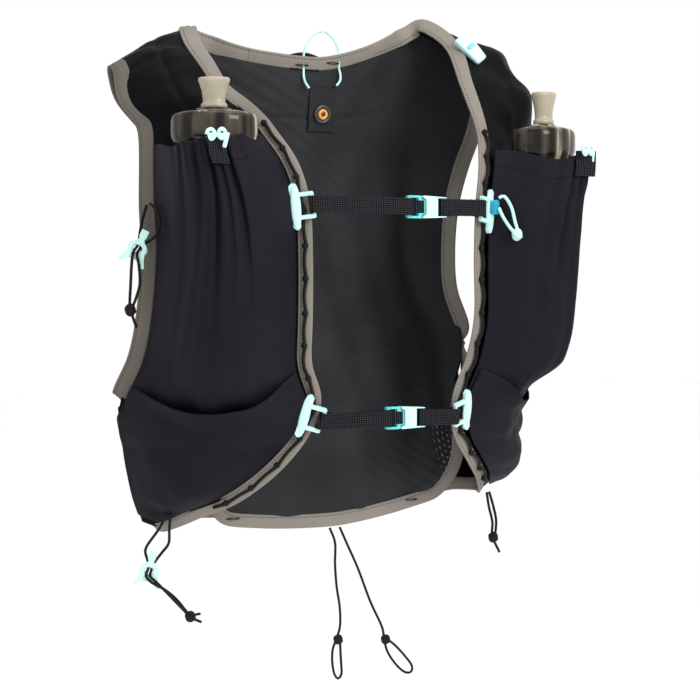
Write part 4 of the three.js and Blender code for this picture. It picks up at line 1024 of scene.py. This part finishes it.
# %% Flasks and bite valves, as share of the half width and distance from the rim
FLASK = [
    (0.36, 0), (0.4, 0.4), (0.43, 1.4), (0.66, 2.2), (0.86, 3.4), (0.955, 4.8), (0.99, 7),
    (1.0, 10), (1.0, 17), (0.99, 21), (0.93, 25), (0.82, 30), (0.77, 47), (0.7, 126),
    (0.52, 167), (0.2, 178), (0.02, 179.5),
]
VALVE = [
    (0.01, 0.4), (0.8, 0.4), (0.83, 1), (0.83, 2.6), (0.78, 3.2), (0.71, 3.8), (0.71, 6),
    (0.73, 9), (0.79, 12.5), (0.88, 15.6), (0.95, 18), (1, 19.6), (0.99, 21), (0.92, 21.8),
    (0.6, 21.6), (0.3, 20.8), (0.01, 20.6),
]
flask_half, valve_half = (31.3, 23), (11.5, 9.4)
flask_turn = math.radians(27)
flask_place = (142, -111, -52)
far_valve_longer = 1.16


def drawn_up(name, rows, half, way, side):
    """A disc pulled up or down along its axis and resized at each row of the table."""
    half_width, half_depth = half
    bpy.ops.object.select_all(action="DESELECT")
    bpy.ops.mesh.primitive_circle_add(
        vertices=48, radius=rows[0][0] * half_width * MM, fill_type="NGON", location=(0, 0, 0)
    )
    body = bpy.context.object
    body.name = name
    bpy.ops.object.mode_set(mode="EDIT")
    bpy.ops.mesh.select_all(action="SELECT")
    for (share, along), (next_share, next_along) in zip(rows, rows[1:]):
        step = {"value": (0, 0, way * (next_along - along) * MM)}
        bpy.ops.mesh.extrude_region_move(TRANSFORM_OT_translate=step)
        wider = next_share / share
        bpy.ops.transform.resize(value=(wider, wider, 1), center_override=(0, 0, 0))
    bpy.ops.mesh.select_all(action="SELECT")
    bpy.ops.transform.resize(value=(1, half_depth / half_width, 1), center_override=(0, 0, 0))
    bpy.ops.mesh.normals_make_consistent(inside=False)
    bpy.ops.object.mode_set(mode="OBJECT")
    wide = np.array([math.cos(flask_turn) * side, math.sin(flask_turn), 0])
    fore = np.array([-math.sin(flask_turn) * side, math.cos(flask_turn), 0])
    x, y, z = flask_place
    lay(body, (x * side, y, z + way * rows[0][1]), [wide, fore, upward])
    bpy.ops.object.shade_smooth_by_angle(angle=math.radians(50))
    return body


flasks, valves = [], []
for side, suffix in ((-1, "right"), (1, "left")):
    flask = drawn_up(f"soft_flask_{suffix}", FLASK, flask_half, -1, side)
    longer = 1.0 if side < 0 else far_valve_longer
    rows = [(share, along * longer) for share, along in VALVE]
    valve = drawn_up(f"valve_{suffix}", rows, valve_half, 1, side)
    flasks += in_place_of([flask], f"flask_{suffix}")
    valves += in_place_of([valve], f"bite_valve_{suffix}")
print("flask faces:", len(flasks[0].data.polygons), "valve faces:", len(valves[0].data.polygons))

# %% [markdown]
# ## Pocket clips
# Each clip is one small moulding: two eyes side by side, a bridge and a tail that hooks over
# the rim elastic. Cutting it from a block would leave square edges, and the real one is round
# all over, so rings and rounded blocks are laid together.

# %% Rings and rounded blocks
def ring(name, centre, ways, major, minor, tall=1.0):
    piece = shaped(
        name, bpy.ops.mesh.primitive_torus_add, (1, tall, 1), major_radius=major * MM,
        minor_radius=minor * MM, major_segments=40, minor_segments=12,
    )
    lay(piece, centre, ways)
    return piece


def rounded_block(name, size, centre, ways):
    piece = shaped(name, bpy.ops.mesh.primitive_cube_add, size, min(size) * 0.3, size=1 * MM)
    lay(piece, centre, ways)
    return piece


def hook_clip(suffix, side):
    node = f"pocket_clip_{suffix}"
    points = node_points(node)
    out = unit(np.array([0.35 * side, -0.93, 0.1]))
    wide = unit(np.cross(out, upward))
    up = unit(np.cross(wide, out))
    front = (points.max(0) + points.min(0)) / 2 + out * 1.5
    flat, leaning = [wide, up, out], [unit(wide + 0.25 * up), unit(up - 0.25 * wide), out]
    big, small = front + wide * 4.4 + up * 1.5, front - wide * 3.4 + up * 2.0
    tail = front - wide * 6.2 - up * 2.5
    made = [
        ring(f"clip_eye_{suffix}_1", big, flat, 2.9, 1.2, 1.2),
        ring(f"clip_eye_{suffix}_2", small, flat, 2.5, 1.2, 1.3),
        rounded_block(f"clip_bridge_{suffix}", (13, 3.0, 2.6), front + up * 1.0, flat),
        rounded_block(f"clip_tail_{suffix}", (3.0, 11, 2.8), tail, leaning),
    ]
    return in_place_of(made, node)


clips = hook_clip("right", -1) + hook_clip("left", 1)
print("clip pieces:", len(clips))

# %% [markdown]
# ## Whistle
# The whistle hangs aslant from the left shoulder. It is a moulded tube, wider at the mouth, so a
# four-sided cone is the start: turned flat, thinned and rounded on every edge. Its window is not cut: a
# slip of darker teal is laid in the front instead, painted shade that reads as the shaded inside of a
# slot at this size.

# %% Whistle
def build_whistle():
    up = unit(0.74 * upward - 0.67 * sideways)
    wide = unit(np.cross(unit(np.array([-0.35, -0.87, 0.34])), up))
    out = unit(np.cross(up, wide))
    centre, _ = main_ways(node_points("whistle"))
    centre = centre - 4.0 * sideways + np.array([-2.2, -4.8, -4.4])
    bpy.ops.object.select_all(action="DESELECT")
    bpy.ops.mesh.primitive_cone_add(
        vertices=4, radius1=7.4 * MM, radius2=10.4 * MM, depth=27 * MM,
    )
    body = bpy.context.object
    body.name = "whistle_body"
    bpy.ops.object.mode_set(mode="EDIT")
    bpy.ops.mesh.select_all(action="SELECT")
    bpy.ops.transform.rotate(value=math.pi / 4, orient_axis="Z", center_override=(0, 0, 0))
    bpy.ops.transform.resize(value=(1, 0.5, 1), center_override=(0, 0, 0))
    bpy.ops.mesh.bevel(offset=2.0 * MM, segments=5, affect="EDGES")
    bpy.ops.object.mode_set(mode="OBJECT")
    lay(body, centre, [wide, out, up])
    cube = bpy.ops.mesh.primitive_cube_add
    # a darker teal slip on the front: painted shade for the inside of the whistle's slot
    window = shaped("whistle_slot_shade", cube, (6.5, 1.2, 3.4), 0.3, 2, size=1 * MM)
    lay(window, centre + up * 1.5 + out * 3.4, [wide, out, up])
    return in_place_of([body, window], "whistle")


whistle_body, whistle_slot_shade = build_whistle()
print("whistle faces:", len(whistle_body.data.polygons))

# %% [markdown]
# ## Buckle windows
# Each buckle's plug is a frame that the webbing is threaded through, so the dark webbing shows
# in its middle. The plug's solid is closed there. Cutting it would change a frame piece, so a
# thin rounded slip of webbing is laid on its face.

# %% Buckle windows
plug_windows = []
for level in ("upper", "lower"):
    points = node_points(f"buckle_plug_{level}")
    centre, ways = main_ways(points)
    out = ways[2] * -np.sign(ways[2][1])
    along = ways[0] * np.sign(ways[0][0])
    place = centre - along * 2.2 + out * np.ptp(points @ out) / 2
    window_ways = [along, unit(np.cross(out, along)), out]
    plug_windows.append(
        rounded_block(f"plug_window_{level}", (6.0, 9.5, 1.2), place, window_ways)
    )
print("plug windows:", len(plug_windows))

# %% [markdown]
# ## Slider bars and hook eyes
# The slider ends in a lens-shaped bar that lies on the cloth, and each cord hook has an oval
# eye. Their solids are plain there. A sphere drawn out in edit mode gives the lens, and a ring
# drawn out gives the eye, both at their solid's middle.

# %% Slider bars and hook eyes
def lens_bar(name, node, side):
    points = node_points(node)
    rim = points[np.abs(points[:, 0]) > np.abs(points[:, 0]).max() - 7]
    centre, ways = main_ways(rim)
    middle = (points[:, 2].max() + points[:, 2].min()) / 2
    centre = centre + ways[0] * (middle - centre[2]) / ways[0][2]
    stretch = (3.9, 1.7, np.ptp(points[:, 2]) / 2)
    sphere = bpy.ops.mesh.primitive_uv_sphere_add
    piece = shaped(name, sphere, stretch, segments=32, ring_count=20, radius=1 * MM)
    up = ways[0] * np.sign(ways[0][2])
    out = unit(np.array([-0.3 if side < 0 else 0.05, -1.0, 0.05]))
    wide = unit(np.cross(out, up))
    lay(piece, centre + out * 0.6, [wide, unit(np.cross(up, wide)), up])
    return piece


bars, eyes = [], []
for suffix, side in (("right", -1), ("left", 1)):
    for level in ("upper", "lower"):
        bars.append(lens_bar(f"slider_bar_{level}_{suffix}", f"slider_{level}_{suffix}", side))
for node in sorted(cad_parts):
    if node.startswith("side_hook"):
        centre, ways = main_ways(node_points(node))
        eyes.append(ring(f"{node}_eye", centre, ways, 4.4, 1.7, 1.25))
print("slider bars:", len(bars), "hook eyes:", len(eyes))

# %% [markdown]
# ## Hose port
# The port in the back is a dark rubber seat with an orange eye in it. One stepped solid would
# do, but two rings and a plate let each have its own finish.

# %% Hose port
centre, ways = main_ways(node_points("port_ring"))
forward = ways[2] * -np.sign(ways[2][1])
port_seat = ring("port_seat", centre, ways, 6.2, 1.5)
port_eye = ring("port_eye", centre + forward * 0.6, ways, 3.1, 1.2)
bpy.ops.object.select_all(action="DESELECT")
bpy.ops.mesh.primitive_cylinder_add(vertices=40, radius=6 * MM, depth=0.8 * MM)
port_plate = lay(bpy.context.object, centre, ways)
port_plate.name = "port_plate"
in_place_of([port_seat, port_eye, port_plate], "port_ring")
print("port at", centre.round(1))

# %% [markdown]
# ## Hang loop
# The hang loop is one thin cord sewn in under the neck tape, so its two ends come out again
# below it. A ring would look stuck on, so the cord is one curve from end to end: up out of the
# tape, over in an arch and back down.

# %% Hang loop
neck_half = 103
loop_points = node_points("hang_loop")
legs = (loop_points[:, 0].min() + 1, loop_points[:, 0].max() - 1)
loop_top = loop_points[:, 2].max() - 1
mid_x = sum(legs) / 2


def neck_line(x):
    """The top edge of the back at a distance to the wearer's left."""
    x = np.asarray(x, float)
    return worn(back_surface(x / neck_half * NECK_SHARE, 0 * x), 1)


def loop_leg(leg):
    away = mid_x - leg
    _, y, z = neck_line(leg)
    places = [
        (leg + 0.22 * away, y - 3, z - 20), (leg + 0.02 * away, y - 3, z - 16),
        (leg - 0.04 * away, y - 1.8, z - 11), (leg, y - 0.3, z - 5),
    ]
    for turn in np.radians([10, 32, 54, 74]):
        x = mid_x - 1.03 * away * math.cos(turn)
        places.append((x, y - 2 * math.sin(turn), z + (loop_top - z) * math.sin(turn)))
    return places


loop_crown = (mid_x, loop_points[:, 1].mean() - 1, loop_top)
route = [*loop_leg(legs[0]), loop_crown, *loop_leg(legs[1])[::-1]]
hang_cord = cord_curve("hang_cord", smooth_route(route), 1.9)
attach(hang_cord, "root")
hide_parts("hang_loop")
print("loop between x", round(legs[0]), "and", round(legs[1]))

# %% [markdown]
# ## Thread bars
# Where the loop and the hem tape are sewn down, the thread is run back and forth into a short
# dark bar. Single stitches would be too fine to see, so a thin ring is pressed flat.

# %% Thread bars
def thread_bar(name, x, y, z):
    place = (x * MM, y * MM, z * MM)
    bpy.ops.object.select_all(action="DESELECT")
    bpy.ops.mesh.primitive_torus_add(
        major_radius=5 * MM, minor_radius=1.1 * MM, major_segments=28, minor_segments=6,
        location=place, rotation=(math.pi / 2, 0, 0),
    )
    bar = bpy.context.object
    bar.name = name
    bpy.ops.object.mode_set(mode="EDIT")
    bpy.ops.mesh.select_all(action="SELECT")
    bpy.ops.transform.resize(value=(1, 0.8, 0.14), center_override=place)
    bpy.ops.object.mode_set(mode="OBJECT")
    bpy.ops.object.transform_apply(location=True, rotation=True, scale=True)
    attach(bar, "root")
    return bar


thread_bars = []
for k, leg in enumerate(legs):
    _, y, z = neck_line(leg)
    thread_bars.append(thread_bar(f"neck_thread_{k + 1}", leg - 2 - 4 * k, y - 1.7, z - 2))
for name, u in (("hem_thread_right", -0.9), ("hem_thread_left", 0.72)):
    x, y, z = worn(back_surface(u, 1.0), 1)
    thread_bars.append(thread_bar(name, x, y - 1.8, z + 1))
print("thread bars:", len(thread_bars))

# %% [markdown]
# ## Tab at the nape
# Beside the loop a short piece of webbing is sewn into the neck edge and stands up a little.
# It is a sheet on the neck line, so it bends with the neck, where a plain box would cut in.

# %% Tab at the nape
def loop_tab():
    t, rise = grid((24, 0, 1), (8, 0, 1))
    top = neck_line(-27 + 26 * t)
    z = top[..., 2] - 6 + rise * (11.6 + 3.0 * swell(t))
    points = np.stack([-27 + 26 * t, top[..., 1] + 0.4 * rise, z], -1)
    piece = cloth_sheet("loop_tab", points, 1.0)
    return declare_cloth(piece, points, "neck_tab")


tab_strip = loop_tab()

# %% [markdown]
# ## Rim elastic
# An elastic cord runs along each bottle pocket's rim from the clip. The solid is a plain arc,
# so the ends are read from it, and the curve between them sinks a little into the gathers.

# %% Rim elastic
rim_sag = {-1: 0, 1: 9}


def rim_elastic(side, suffix):
    points = node_points(f"pocket_cord_{suffix}")
    ends = points[[np.argmin(points[:, 0]), np.argmax(points[:, 0])]]
    first, last = ends if side > 0 else ends[::-1]
    t = np.linspace(0, 1, 9)[:, None]
    drop = 3.0 * (1 - swell(np.clip(t * 1.25, 0, 1))) * (t < 0.8) + 3.4 * (t >= 0.8)
    path = first + (last - first) * t - upward * (drop + rim_sag[side])
    piece = cord_curve(f"rim_elastic_{suffix}", smooth_route(path), 1.9)
    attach(piece, "root")
    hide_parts(f"pocket_cord_{suffix}")
    return piece


rim_cords = [rim_elastic(-1, "right"), rim_elastic(1, "left")]
print("rim elastic:", [piece.name for piece in rim_cords])

# %% [markdown]
# ## Colours and finishes
# Every finish is a small node tree, named for the real material. Cloth reads the sheet's own UV
# map in metres, so its knit has a true size, and mouldings read Object coordinates. Painted
# images would do too, but they would fix one size and one set of folds.

# %% Helpers for materials
def shade(code):
    """An sRGB hex colour turned to linear light."""
    parts = [int(code[i : i + 2], 16) / 255 for i in (1, 3, 5)]
    return tuple(p / 12.92 if p <= 0.04045 else ((p + 0.055) / 1.055) ** 2.4 for p in parts) + (1,)


def put(material, kind, settings=None, **links):
    """Add a node. Settings and links go by name, or by a socket's number, as in i0."""
    tree = material.node_tree
    new = tree.nodes.new(kind)
    for key, value in (settings or {}).items():
        if isinstance(key, str) and key not in new.inputs:
            setattr(new, key, value)
        else:
            new.inputs[key].default_value = value
    for key, source in links.items():
        numbered = key[0] == "i" and key[1:].isdigit()
        tree.links.new(source, new.inputs[int(key[1:]) if numbered else key.replace("_", " ")])
    return new


def finish_named(name, settings):
    material = bpy.data.materials.new(name)
    material.use_nodes = True
    surface = material.node_tree.nodes["Principled BSDF"]
    for key, value in settings.items():
        surface.inputs[key].default_value = value
    return material, surface


def paint(material, surface, colour, height, strength, distance):
    """Give a surface its colour and the fine relief of its pattern."""
    links = material.node_tree.links
    links.new(colour, surface.inputs["Base Color"])
    relief = {"Strength": strength, "Distance": distance}
    raised = put(material, "ShaderNodeBump", relief, Height=height)
    links.new(raised.outputs["Normal"], surface.inputs["Normal"])


print("near black in linear light:", [round(part, 4) for part in shade("#1f1e26")[:3]])

# %% [markdown]
# ## Knitted and woven cloth
# Cloth is crossed threads, so two wave patterns at right angles are multiplied: one bump where
# two threads cross. A slow noise shifts the tone as the cloth bends towards and away from the
# light. An image of a knit would show its repeats at this size. Real threads lie about half a
# millimetre apart, too fine to show, so they are drawn 0.8 to 1.5 mm apart.

# %% Knit cloth: fine ribs along and across, with slow changes of tone
def wave_scale(period_mm):
    """Blender's wave texture at scale 1 repeats every 0.314 units, here metres."""
    return 314.16 / period_mm


def knit(name, light, dark, thread_mm, roughness=0.6, bump=0.35, gloss=0.15):
    material, surface = finish_named(name, {"Roughness": roughness, "Specular IOR Level": gloss})
    uv = put(material, "ShaderNodeUVMap", {"uv_map": "cloth"})
    ribs = []
    for way in ("X", "Y"):
        settings = {"bands_direction": way, "Scale": wave_scale(thread_mm), "Distortion": 0.6}
        settings["Detail"] = 1.0
        wave = put(material, "ShaderNodeTexWave", settings, Vector=uv.outputs["UV"])
        ribs.append(wave.outputs["Fac"])
    times = {"operation": "MULTIPLY"}
    crossing = put(material, "ShaderNodeMath", times, i0=ribs[0], i1=ribs[1]).outputs[0]
    place = put(material, "ShaderNodeTexCoord").outputs["Object"]
    # 18 clouds of tone to a metre, one every 55 mm
    slow = {"Scale": 18.0, "Detail": 3.0, "Roughness": 0.5}
    cloud = put(material, "ShaderNodeTexNoise", slow, Vector=place).outputs["Fac"]
    most = put(material, "ShaderNodeMath", {"operation": "MULTIPLY", 1: 0.75}, i0=cloud)
    adding = {"operation": "MULTIPLY_ADD", 1: 0.35}
    share = put(material, "ShaderNodeMath", adding, i0=crossing, i2=most.outputs[0])
    colours = {"data_type": "RGBA", 6: shade(dark), 7: shade(light)}
    tone = put(material, "ShaderNodeMix", colours, i0=share.outputs[0])
    paint(material, surface, tone.outputs[2], crossing, bump, 0.0004)
    return material


# Stretch nylon for the pockets: yarn-dyed, nearly black with a violet cast, and quite matt.
stretch_nylon = knit("stretch_nylon_pocket", "#1f1e26", "#0f0e13", 1.2, 0.6, 0.25, 0.06)
rimmed_nylon = knit("stretch_nylon_with_rim_seam", "#1f1e26", "#0f0e13", 1.2, 0.6, 0.25, 0.06)
# Warp-knit polyester for the back: open loops let light through, so it looks a little greyer.
back_knit = knit("warp_knit_mesh", "#333436", "#17181a", 1.5, 0.5, 0.35, 0.1)
perforated_knit = knit("perforated_warp_knit_mesh", "#333436", "#17181a", 1.5, 0.5, 0.35, 0.1)
# The doubled mesh over the shoulders lets no light through, so it is the darkest cloth.
shoulder_knit = knit("shoulder_knit_mesh", "#131316", "#050506", 1.5, 0.5, 0.3, 0.03)
# Folded polyester tape, very matt. The near armhole's tape lies in shade, so it gets a copy of the tape
# with darker colours: painted shade.
fold_tape = knit("folded_binding_tape", "#918b83", "#6a655e", 0.9, 0.9, 0.25, 0.1)
shaded_arm_tape = knit("folded_binding_tape_painted_shade", "#746e67", "#4c4842", 0.9, 0.9, 0.25, 0.1)
# Braided elastic and a mint polyester braid: their threads cross round a core.
braid = knit("braided_elastic", "#222120", "#080808", 1.2, 0.7)
mint_braid = knit("mint_braid", "#d6f6f1", "#a5dcd4", 0.8, 0.7)
print("cloth finishes ready")

# %% [markdown]
# ## Stitches and holes
# A line of stitches is a dashed thread, one stitch every 3 mm, a set distance from the edge of
# a pocket or from the middle of a tape. Real thread would be hundreds of tiny curves, so it is
# drawn in the material. The fine holes in the far corner of the back are drawn the same way,
# coarser than real so that they show.

# %% Stitches and holes on cloth
def cloth_places(material):
    uv = put(material, "ShaderNodeUVMap", {"uv_map": "cloth"})
    return put(material, "ShaderNodeSeparateXYZ", None, Vector=uv.outputs["UV"]).outputs


def stitched(material, way, at_mm, dash_mm):
    """One where a dashed line of thread runs at a given distance across or along the cloth."""
    places = cloth_places(material)
    run = places["Y" if way == "X" else "X"]
    on_line = {"operation": "COMPARE", 1: at_mm * MM, 2: 0.45 * MM}
    near = put(material, "ShaderNodeMath", on_line, i0=places[way])
    paced = {"operation": "MULTIPLY", 1: 1 / (dash_mm * MM)}
    pace = put(material, "ShaderNodeMath", paced, i0=run)
    part = put(material, "ShaderNodeMath", {"operation": "FRACT"}, i0=pace.outputs[0])
    dash = put(material, "ShaderNodeMath", {"operation": "LESS_THAN", 1: 0.62}, i0=part.outputs[0])
    times = {"operation": "MULTIPLY"}
    return put(material, "ShaderNodeMath", times, i0=near.outputs[0], i1=dash.outputs[0]).outputs[0]


def perforated(material, middle_mm, half_mm, pitch_mm, radius_mm):
    """One inside the round holes of one patch of cloth, given across and down it."""
    places = cloth_places(material)
    uv = put(material, "ShaderNodeUVMap", {"uv_map": "cloth"}).outputs["UV"]
    inside = []
    for axis, middle, half in zip("XY", middle_mm, half_mm):
        within = {"operation": "COMPARE", 1: middle * MM, 2: half * MM}
        inside.append(put(material, "ShaderNodeMath", within, i0=places[axis]).outputs[0])
    cells = put(material, "ShaderNodeVectorMath", {"operation": "SCALE"}, i0=uv)
    cells.inputs["Scale"].default_value = 1 / (pitch_mm * MM)
    part = put(material, "ShaderNodeVectorMath", {"operation": "FRACTION"}, i0=cells.outputs[0])
    from_middle = {"operation": "DISTANCE", 1: (0.5, 0.5, 0)}
    off = put(material, "ShaderNodeVectorMath", from_middle, i0=part.outputs[0])
    in_hole = {"operation": "LESS_THAN", 1: radius_mm / pitch_mm}
    hole = put(material, "ShaderNodeMath", in_hole, i0=off.outputs["Value"]).outputs[0]
    times = {"operation": "MULTIPLY"}
    patch = put(material, "ShaderNodeMath", times, i0=inside[0], i1=inside[1]).outputs[0]
    return put(material, "ShaderNodeMath", times, i0=hole, i1=patch).outputs[0]


def cover(material, share, code):
    """Lay a flat colour over a material's own colour wherever share is one."""
    links = material.node_tree.links
    colour = material.node_tree.nodes["Principled BSDF"].inputs["Base Color"]
    own = colour.links[0].from_socket
    over = put(material, "ShaderNodeMix", {"data_type": "RGBA", 7: shade(code)}, i0=share, i6=own)
    links.new(over.outputs[2], colour)


cover(rimmed_nylon, stitched(rimmed_nylon, "Y", 16, 3.2), "#050506")
cover(fold_tape, stitched(fold_tape, "X", 3.4, 3), "#57534d")
# the shaded copy's stitch line is darker as well: painted shade
cover(shaded_arm_tape, stitched(shaded_arm_tape, "X", 3.9, 3), "#4a4641")
cover(perforated_knit, perforated(perforated_knit, (224, 347), (10, 25), 4.5, 0.85), "#70706e")
print("rim seam at 16 mm, tape seams at 3.4 and 3.9 mm from the middle")

# %% [markdown]
# ## Moulded plastic and rubber
# The fittings are moulded in acetal, a dense, slightly waxy plastic. Its skin is even and half
# glossy with a very faint grain from the mould, so one function serves every colour, and the
# rubber of the port as well.

# %% Moulded parts
def moulded(name, colour, second_colour, roughness):
    material, surface = finish_named(name, {"Roughness": roughness, "IOR": 1.48})
    place = put(material, "ShaderNodeTexCoord").outputs["Object"]
    # 900 grains to a metre, a little over 1 mm each
    fine = {"Scale": 900.0, "Detail": 2.0}
    grain = put(material, "ShaderNodeTexNoise", fine, Vector=place).outputs["Fac"]
    colours = {"data_type": "RGBA", 6: shade(colour), 7: shade(second_colour)}
    tone = put(material, "ShaderNodeMix", colours, i0=grain)
    paint(material, surface, tone.outputs[2], grain, 0.1, 0.0001)
    return material


mint = moulded("mint_acetal", "#b2dfd9", "#c4ebe6", 0.35)
teal = moulded("teal_acetal", "#4abcc0", "#62cfd0", 0.35)
blue = moulded("blue_acetal", "#2b97ba", "#3cadc9", 0.35)
orange_rubber = moulded("orange_rubber", "#d99a3a", "#e8aa4a", 0.45)
dark_rubber = moulded("dark_clear_rubber", "#2b2b2f", "#45454a", 0.3)
print("moulded finishes:", [one.name for one in (mint, teal, blue, orange_rubber, dark_rubber)])

# %% [markdown]
# ## Webbing
# Nylon webbing is woven of thick dark yarn, so its crossings catch small points of light. The
# webbings stand nearly upright in front of the body, so the pattern reads X and Z of Object
# coordinates. The real yarns are about 1 mm, drawn at 1.6 and 2 mm so that they show.

# %% Webbing
def woven_webbing():
    name, matt = "nylon_webbing", {"Roughness": 0.75, "Specular IOR Level": 0.08}
    material, surface = finish_named(name, matt)
    place = put(material, "ShaderNodeTexCoord").outputs["Object"]
    yarns = []
    for way, period_mm in (("X", 2.0), ("Z", 1.6)):
        settings = {"bands_direction": way, "Scale": wave_scale(period_mm)}
        yarns.append(put(material, "ShaderNodeTexWave", settings, Vector=place).outputs["Fac"])
    times = {"operation": "MULTIPLY"}
    crossing = put(material, "ShaderNodeMath", times, i0=yarns[0], i1=yarns[1]).outputs[0]
    colours = {"data_type": "RGBA", 6: shade("#08080a"), 7: shade("#3a3b40")}
    tone = put(material, "ShaderNodeMix", colours, i0=crossing)
    paint(material, surface, tone.outputs[2], crossing, 0.5, 0.0005)
    return material


webbing = woven_webbing()
print("yarns at 2.0 and 1.6 mm")

# %% [markdown]
# ## Flask film and valve
# The flasks are smoked polyurethane film. Empty film is crumpled in long upright folds, so a noise is
# stretched along Z and drives the relief. The same noise tints the colour in upright stripes: the dark
# ones are the film's smoked tone, and the pale ones are painted highlights that stand in for the lamps'
# reflections. Full glass-like transmission would show the empty pocket, and the real one is dark. The
# valve is cloudy silicone, which glows a little inside.

# %% Flask film and valve
def film():
    settings = {
        "Roughness": 0.14, "IOR": 1.4, "Transmission Weight": 0.1, "Coat Weight": 0.08,
        "Coat Roughness": 0.04, "Specular IOR Level": 0.2,
    }
    material, surface = finish_named("smoked_tpu_film", settings)
    place = put(material, "ShaderNodeTexCoord").outputs["Object"]
    tall = put(material, "ShaderNodeMapping", {"Scale": (1, 1, 0.04)}, Vector=place)
    # 120 folds and painted highlights to a metre, one every 8 mm
    fold_and_glint_size = {"Scale": 120.0, "Detail": 1.0, "Roughness": 0.4}
    fold_and_glint_noise = put(material, "ShaderNodeTexNoise", fold_and_glint_size, Vector=tall.outputs["Vector"])
    ramp = put(material, "ShaderNodeValToRGB", None, Fac=fold_and_glint_noise.outputs["Fac"])
    stops = ramp.color_ramp.elements
    for stop, at, code in ((stops[0], 0.42, "#191611"), (stops[1], 0.62, "#4a443a")):
        stop.position = at
        stop.color = shade(code)
    # the palest stop paints highlights, standing in for the lamps' reflections in the film
    stops.new(0.67).color = shade("#a8a090")
    paint(material, surface, ramp.outputs["Color"], fold_and_glint_noise.outputs["Fac"], 0.3, 0.002)
    return material


def silicone():
    settings = {
        "Roughness": 0.38, "IOR": 1.42, "Subsurface Weight": 0.3, "Subsurface Scale": 0.004,
        "Coat Weight": 0.2,
    }
    material, surface = finish_named("clear_grey_silicone", settings)
    place = put(material, "ShaderNodeTexCoord").outputs["Object"]
    cloud = put(material, "ShaderNodeTexNoise", {"Scale": 120.0}, Vector=place).outputs["Fac"]
    colours = {"data_type": "RGBA", 6: shade("#8f8874"), 7: shade("#aca590")}
    tone = put(material, "ShaderNodeMix", colours, i0=cloud)
    material.node_tree.links.new(tone.outputs[2], surface.inputs["Base Color"])
    return material


flask_film, valve_silicone = film(), silicone()
print("flask and valve finishes ready")

# %% [markdown]
# ## Dressing the pieces
# Each new piece takes one finish. The solids of the frame that stay in view, such as the
# sliders and buckles, only get the finish of their kind, found by the start of their names.

# %% Give each piece its finish
def dress(pieces, material):
    for piece in pieces:
        piece.data.materials.clear()
        piece.data.materials.append(material)


shaded_tapes = [tape for tape in tapes if tape.name == "armhole_tape_right"]
dress(bottle_pockets, rimmed_nylon)
dress([*lower_pockets, pouch_cloth], stretch_nylon)
dress([back_mesh], perforated_knit)
dress(front_meshes + wing_meshes, shoulder_knit)
dress(tapes, fold_tape)
# the near armhole tape takes the copy with painted shade
dress(shaded_tapes, shaded_arm_tape)
dress([*bars, *eyes, *clips, whistle_body], mint)
# the teal slip is painted shade for the whistle's slot
dress([whistle_slot_shade], teal)
dress([port_seat, port_plate], dark_rubber)
dress([port_eye], orange_rubber)
dress([tab_strip, *plug_windows], webbing)
dress(rails + rim_cords + thread_bars + elastic_cords, braid)
dress([hang_cord, *mint_cords], mint_braid)
dress(flasks, flask_film)
dress(valves, valve_silicone)
SOLID_FINISH = {
    "slider": mint, "buckle_plug": teal, "buckle_socket": mint, "strap": webbing,
    "pocket_tab": webbing, "port_patch": back_knit, "side_hook": mint, "pull_toggle": blue,
}
dressed = 0
for name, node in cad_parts.items():
    for start, material in SOLID_FINISH.items():
        if name.startswith(start):
            dressed += 1
            for slot in node.material_slots:
                slot.material = material
print("solids dressed:", dressed)

# %% [markdown]
# ## Studio
# The photograph is a plain product shot: a white ground and broad soft light from the front.
# A bright world lights it evenly, and one large lamp before it, a weak one at its side and one
# above give the folds their shading.

# %% Floor and light
floor_below, middle = -1.25, (0, 0, -0.2)
bpy.ops.object.select_all(action="DESELECT")
bpy.ops.mesh.primitive_plane_add(size=30, location=(0, 0, floor_below))
floor = bpy.context.object
floor.name = "floor"
pale, _ = finish_named("pale_floor", {"Base Color": shade("#ffffff"), "Roughness": 1.0})
dress([floor], pale)

world = bpy.data.worlds.new("studio")
world.use_nodes = True
world.node_tree.nodes["Background"].inputs["Color"].default_value = (1, 1, 1, 1)
world.node_tree.nodes["Background"].inputs["Strength"].default_value = 1.0
bpy.context.scene.world = world
bpy.context.scene.view_settings.view_transform = "Standard"


def soft_lamp(name, place, size, power):
    data = bpy.data.lights.new(name, "AREA")
    data.shape = "SQUARE"
    data.size = size
    data.energy = power
    lamp = into_scene(name, data)
    lamp.location = place
    lamp.rotation_mode = "QUATERNION"
    lamp.rotation_quaternion = (Vector(middle) - Vector(place)).to_track_quat("-Z", "Y")


soft_lamp("key", (0.5, -2.1, 0.9), 0.9, 34)
soft_lamp("fill", (-1.9, -1.2, 0.5), 1.4, 5)
soft_lamp("top", (0.2, -0.2, 1.8), 1.2, 12)
print("lamps:", len(bpy.data.lights))

# %% [markdown]
# ## The end
# The last step brings the view layer up to date.

# %% The end
bpy.context.view_layer.update()
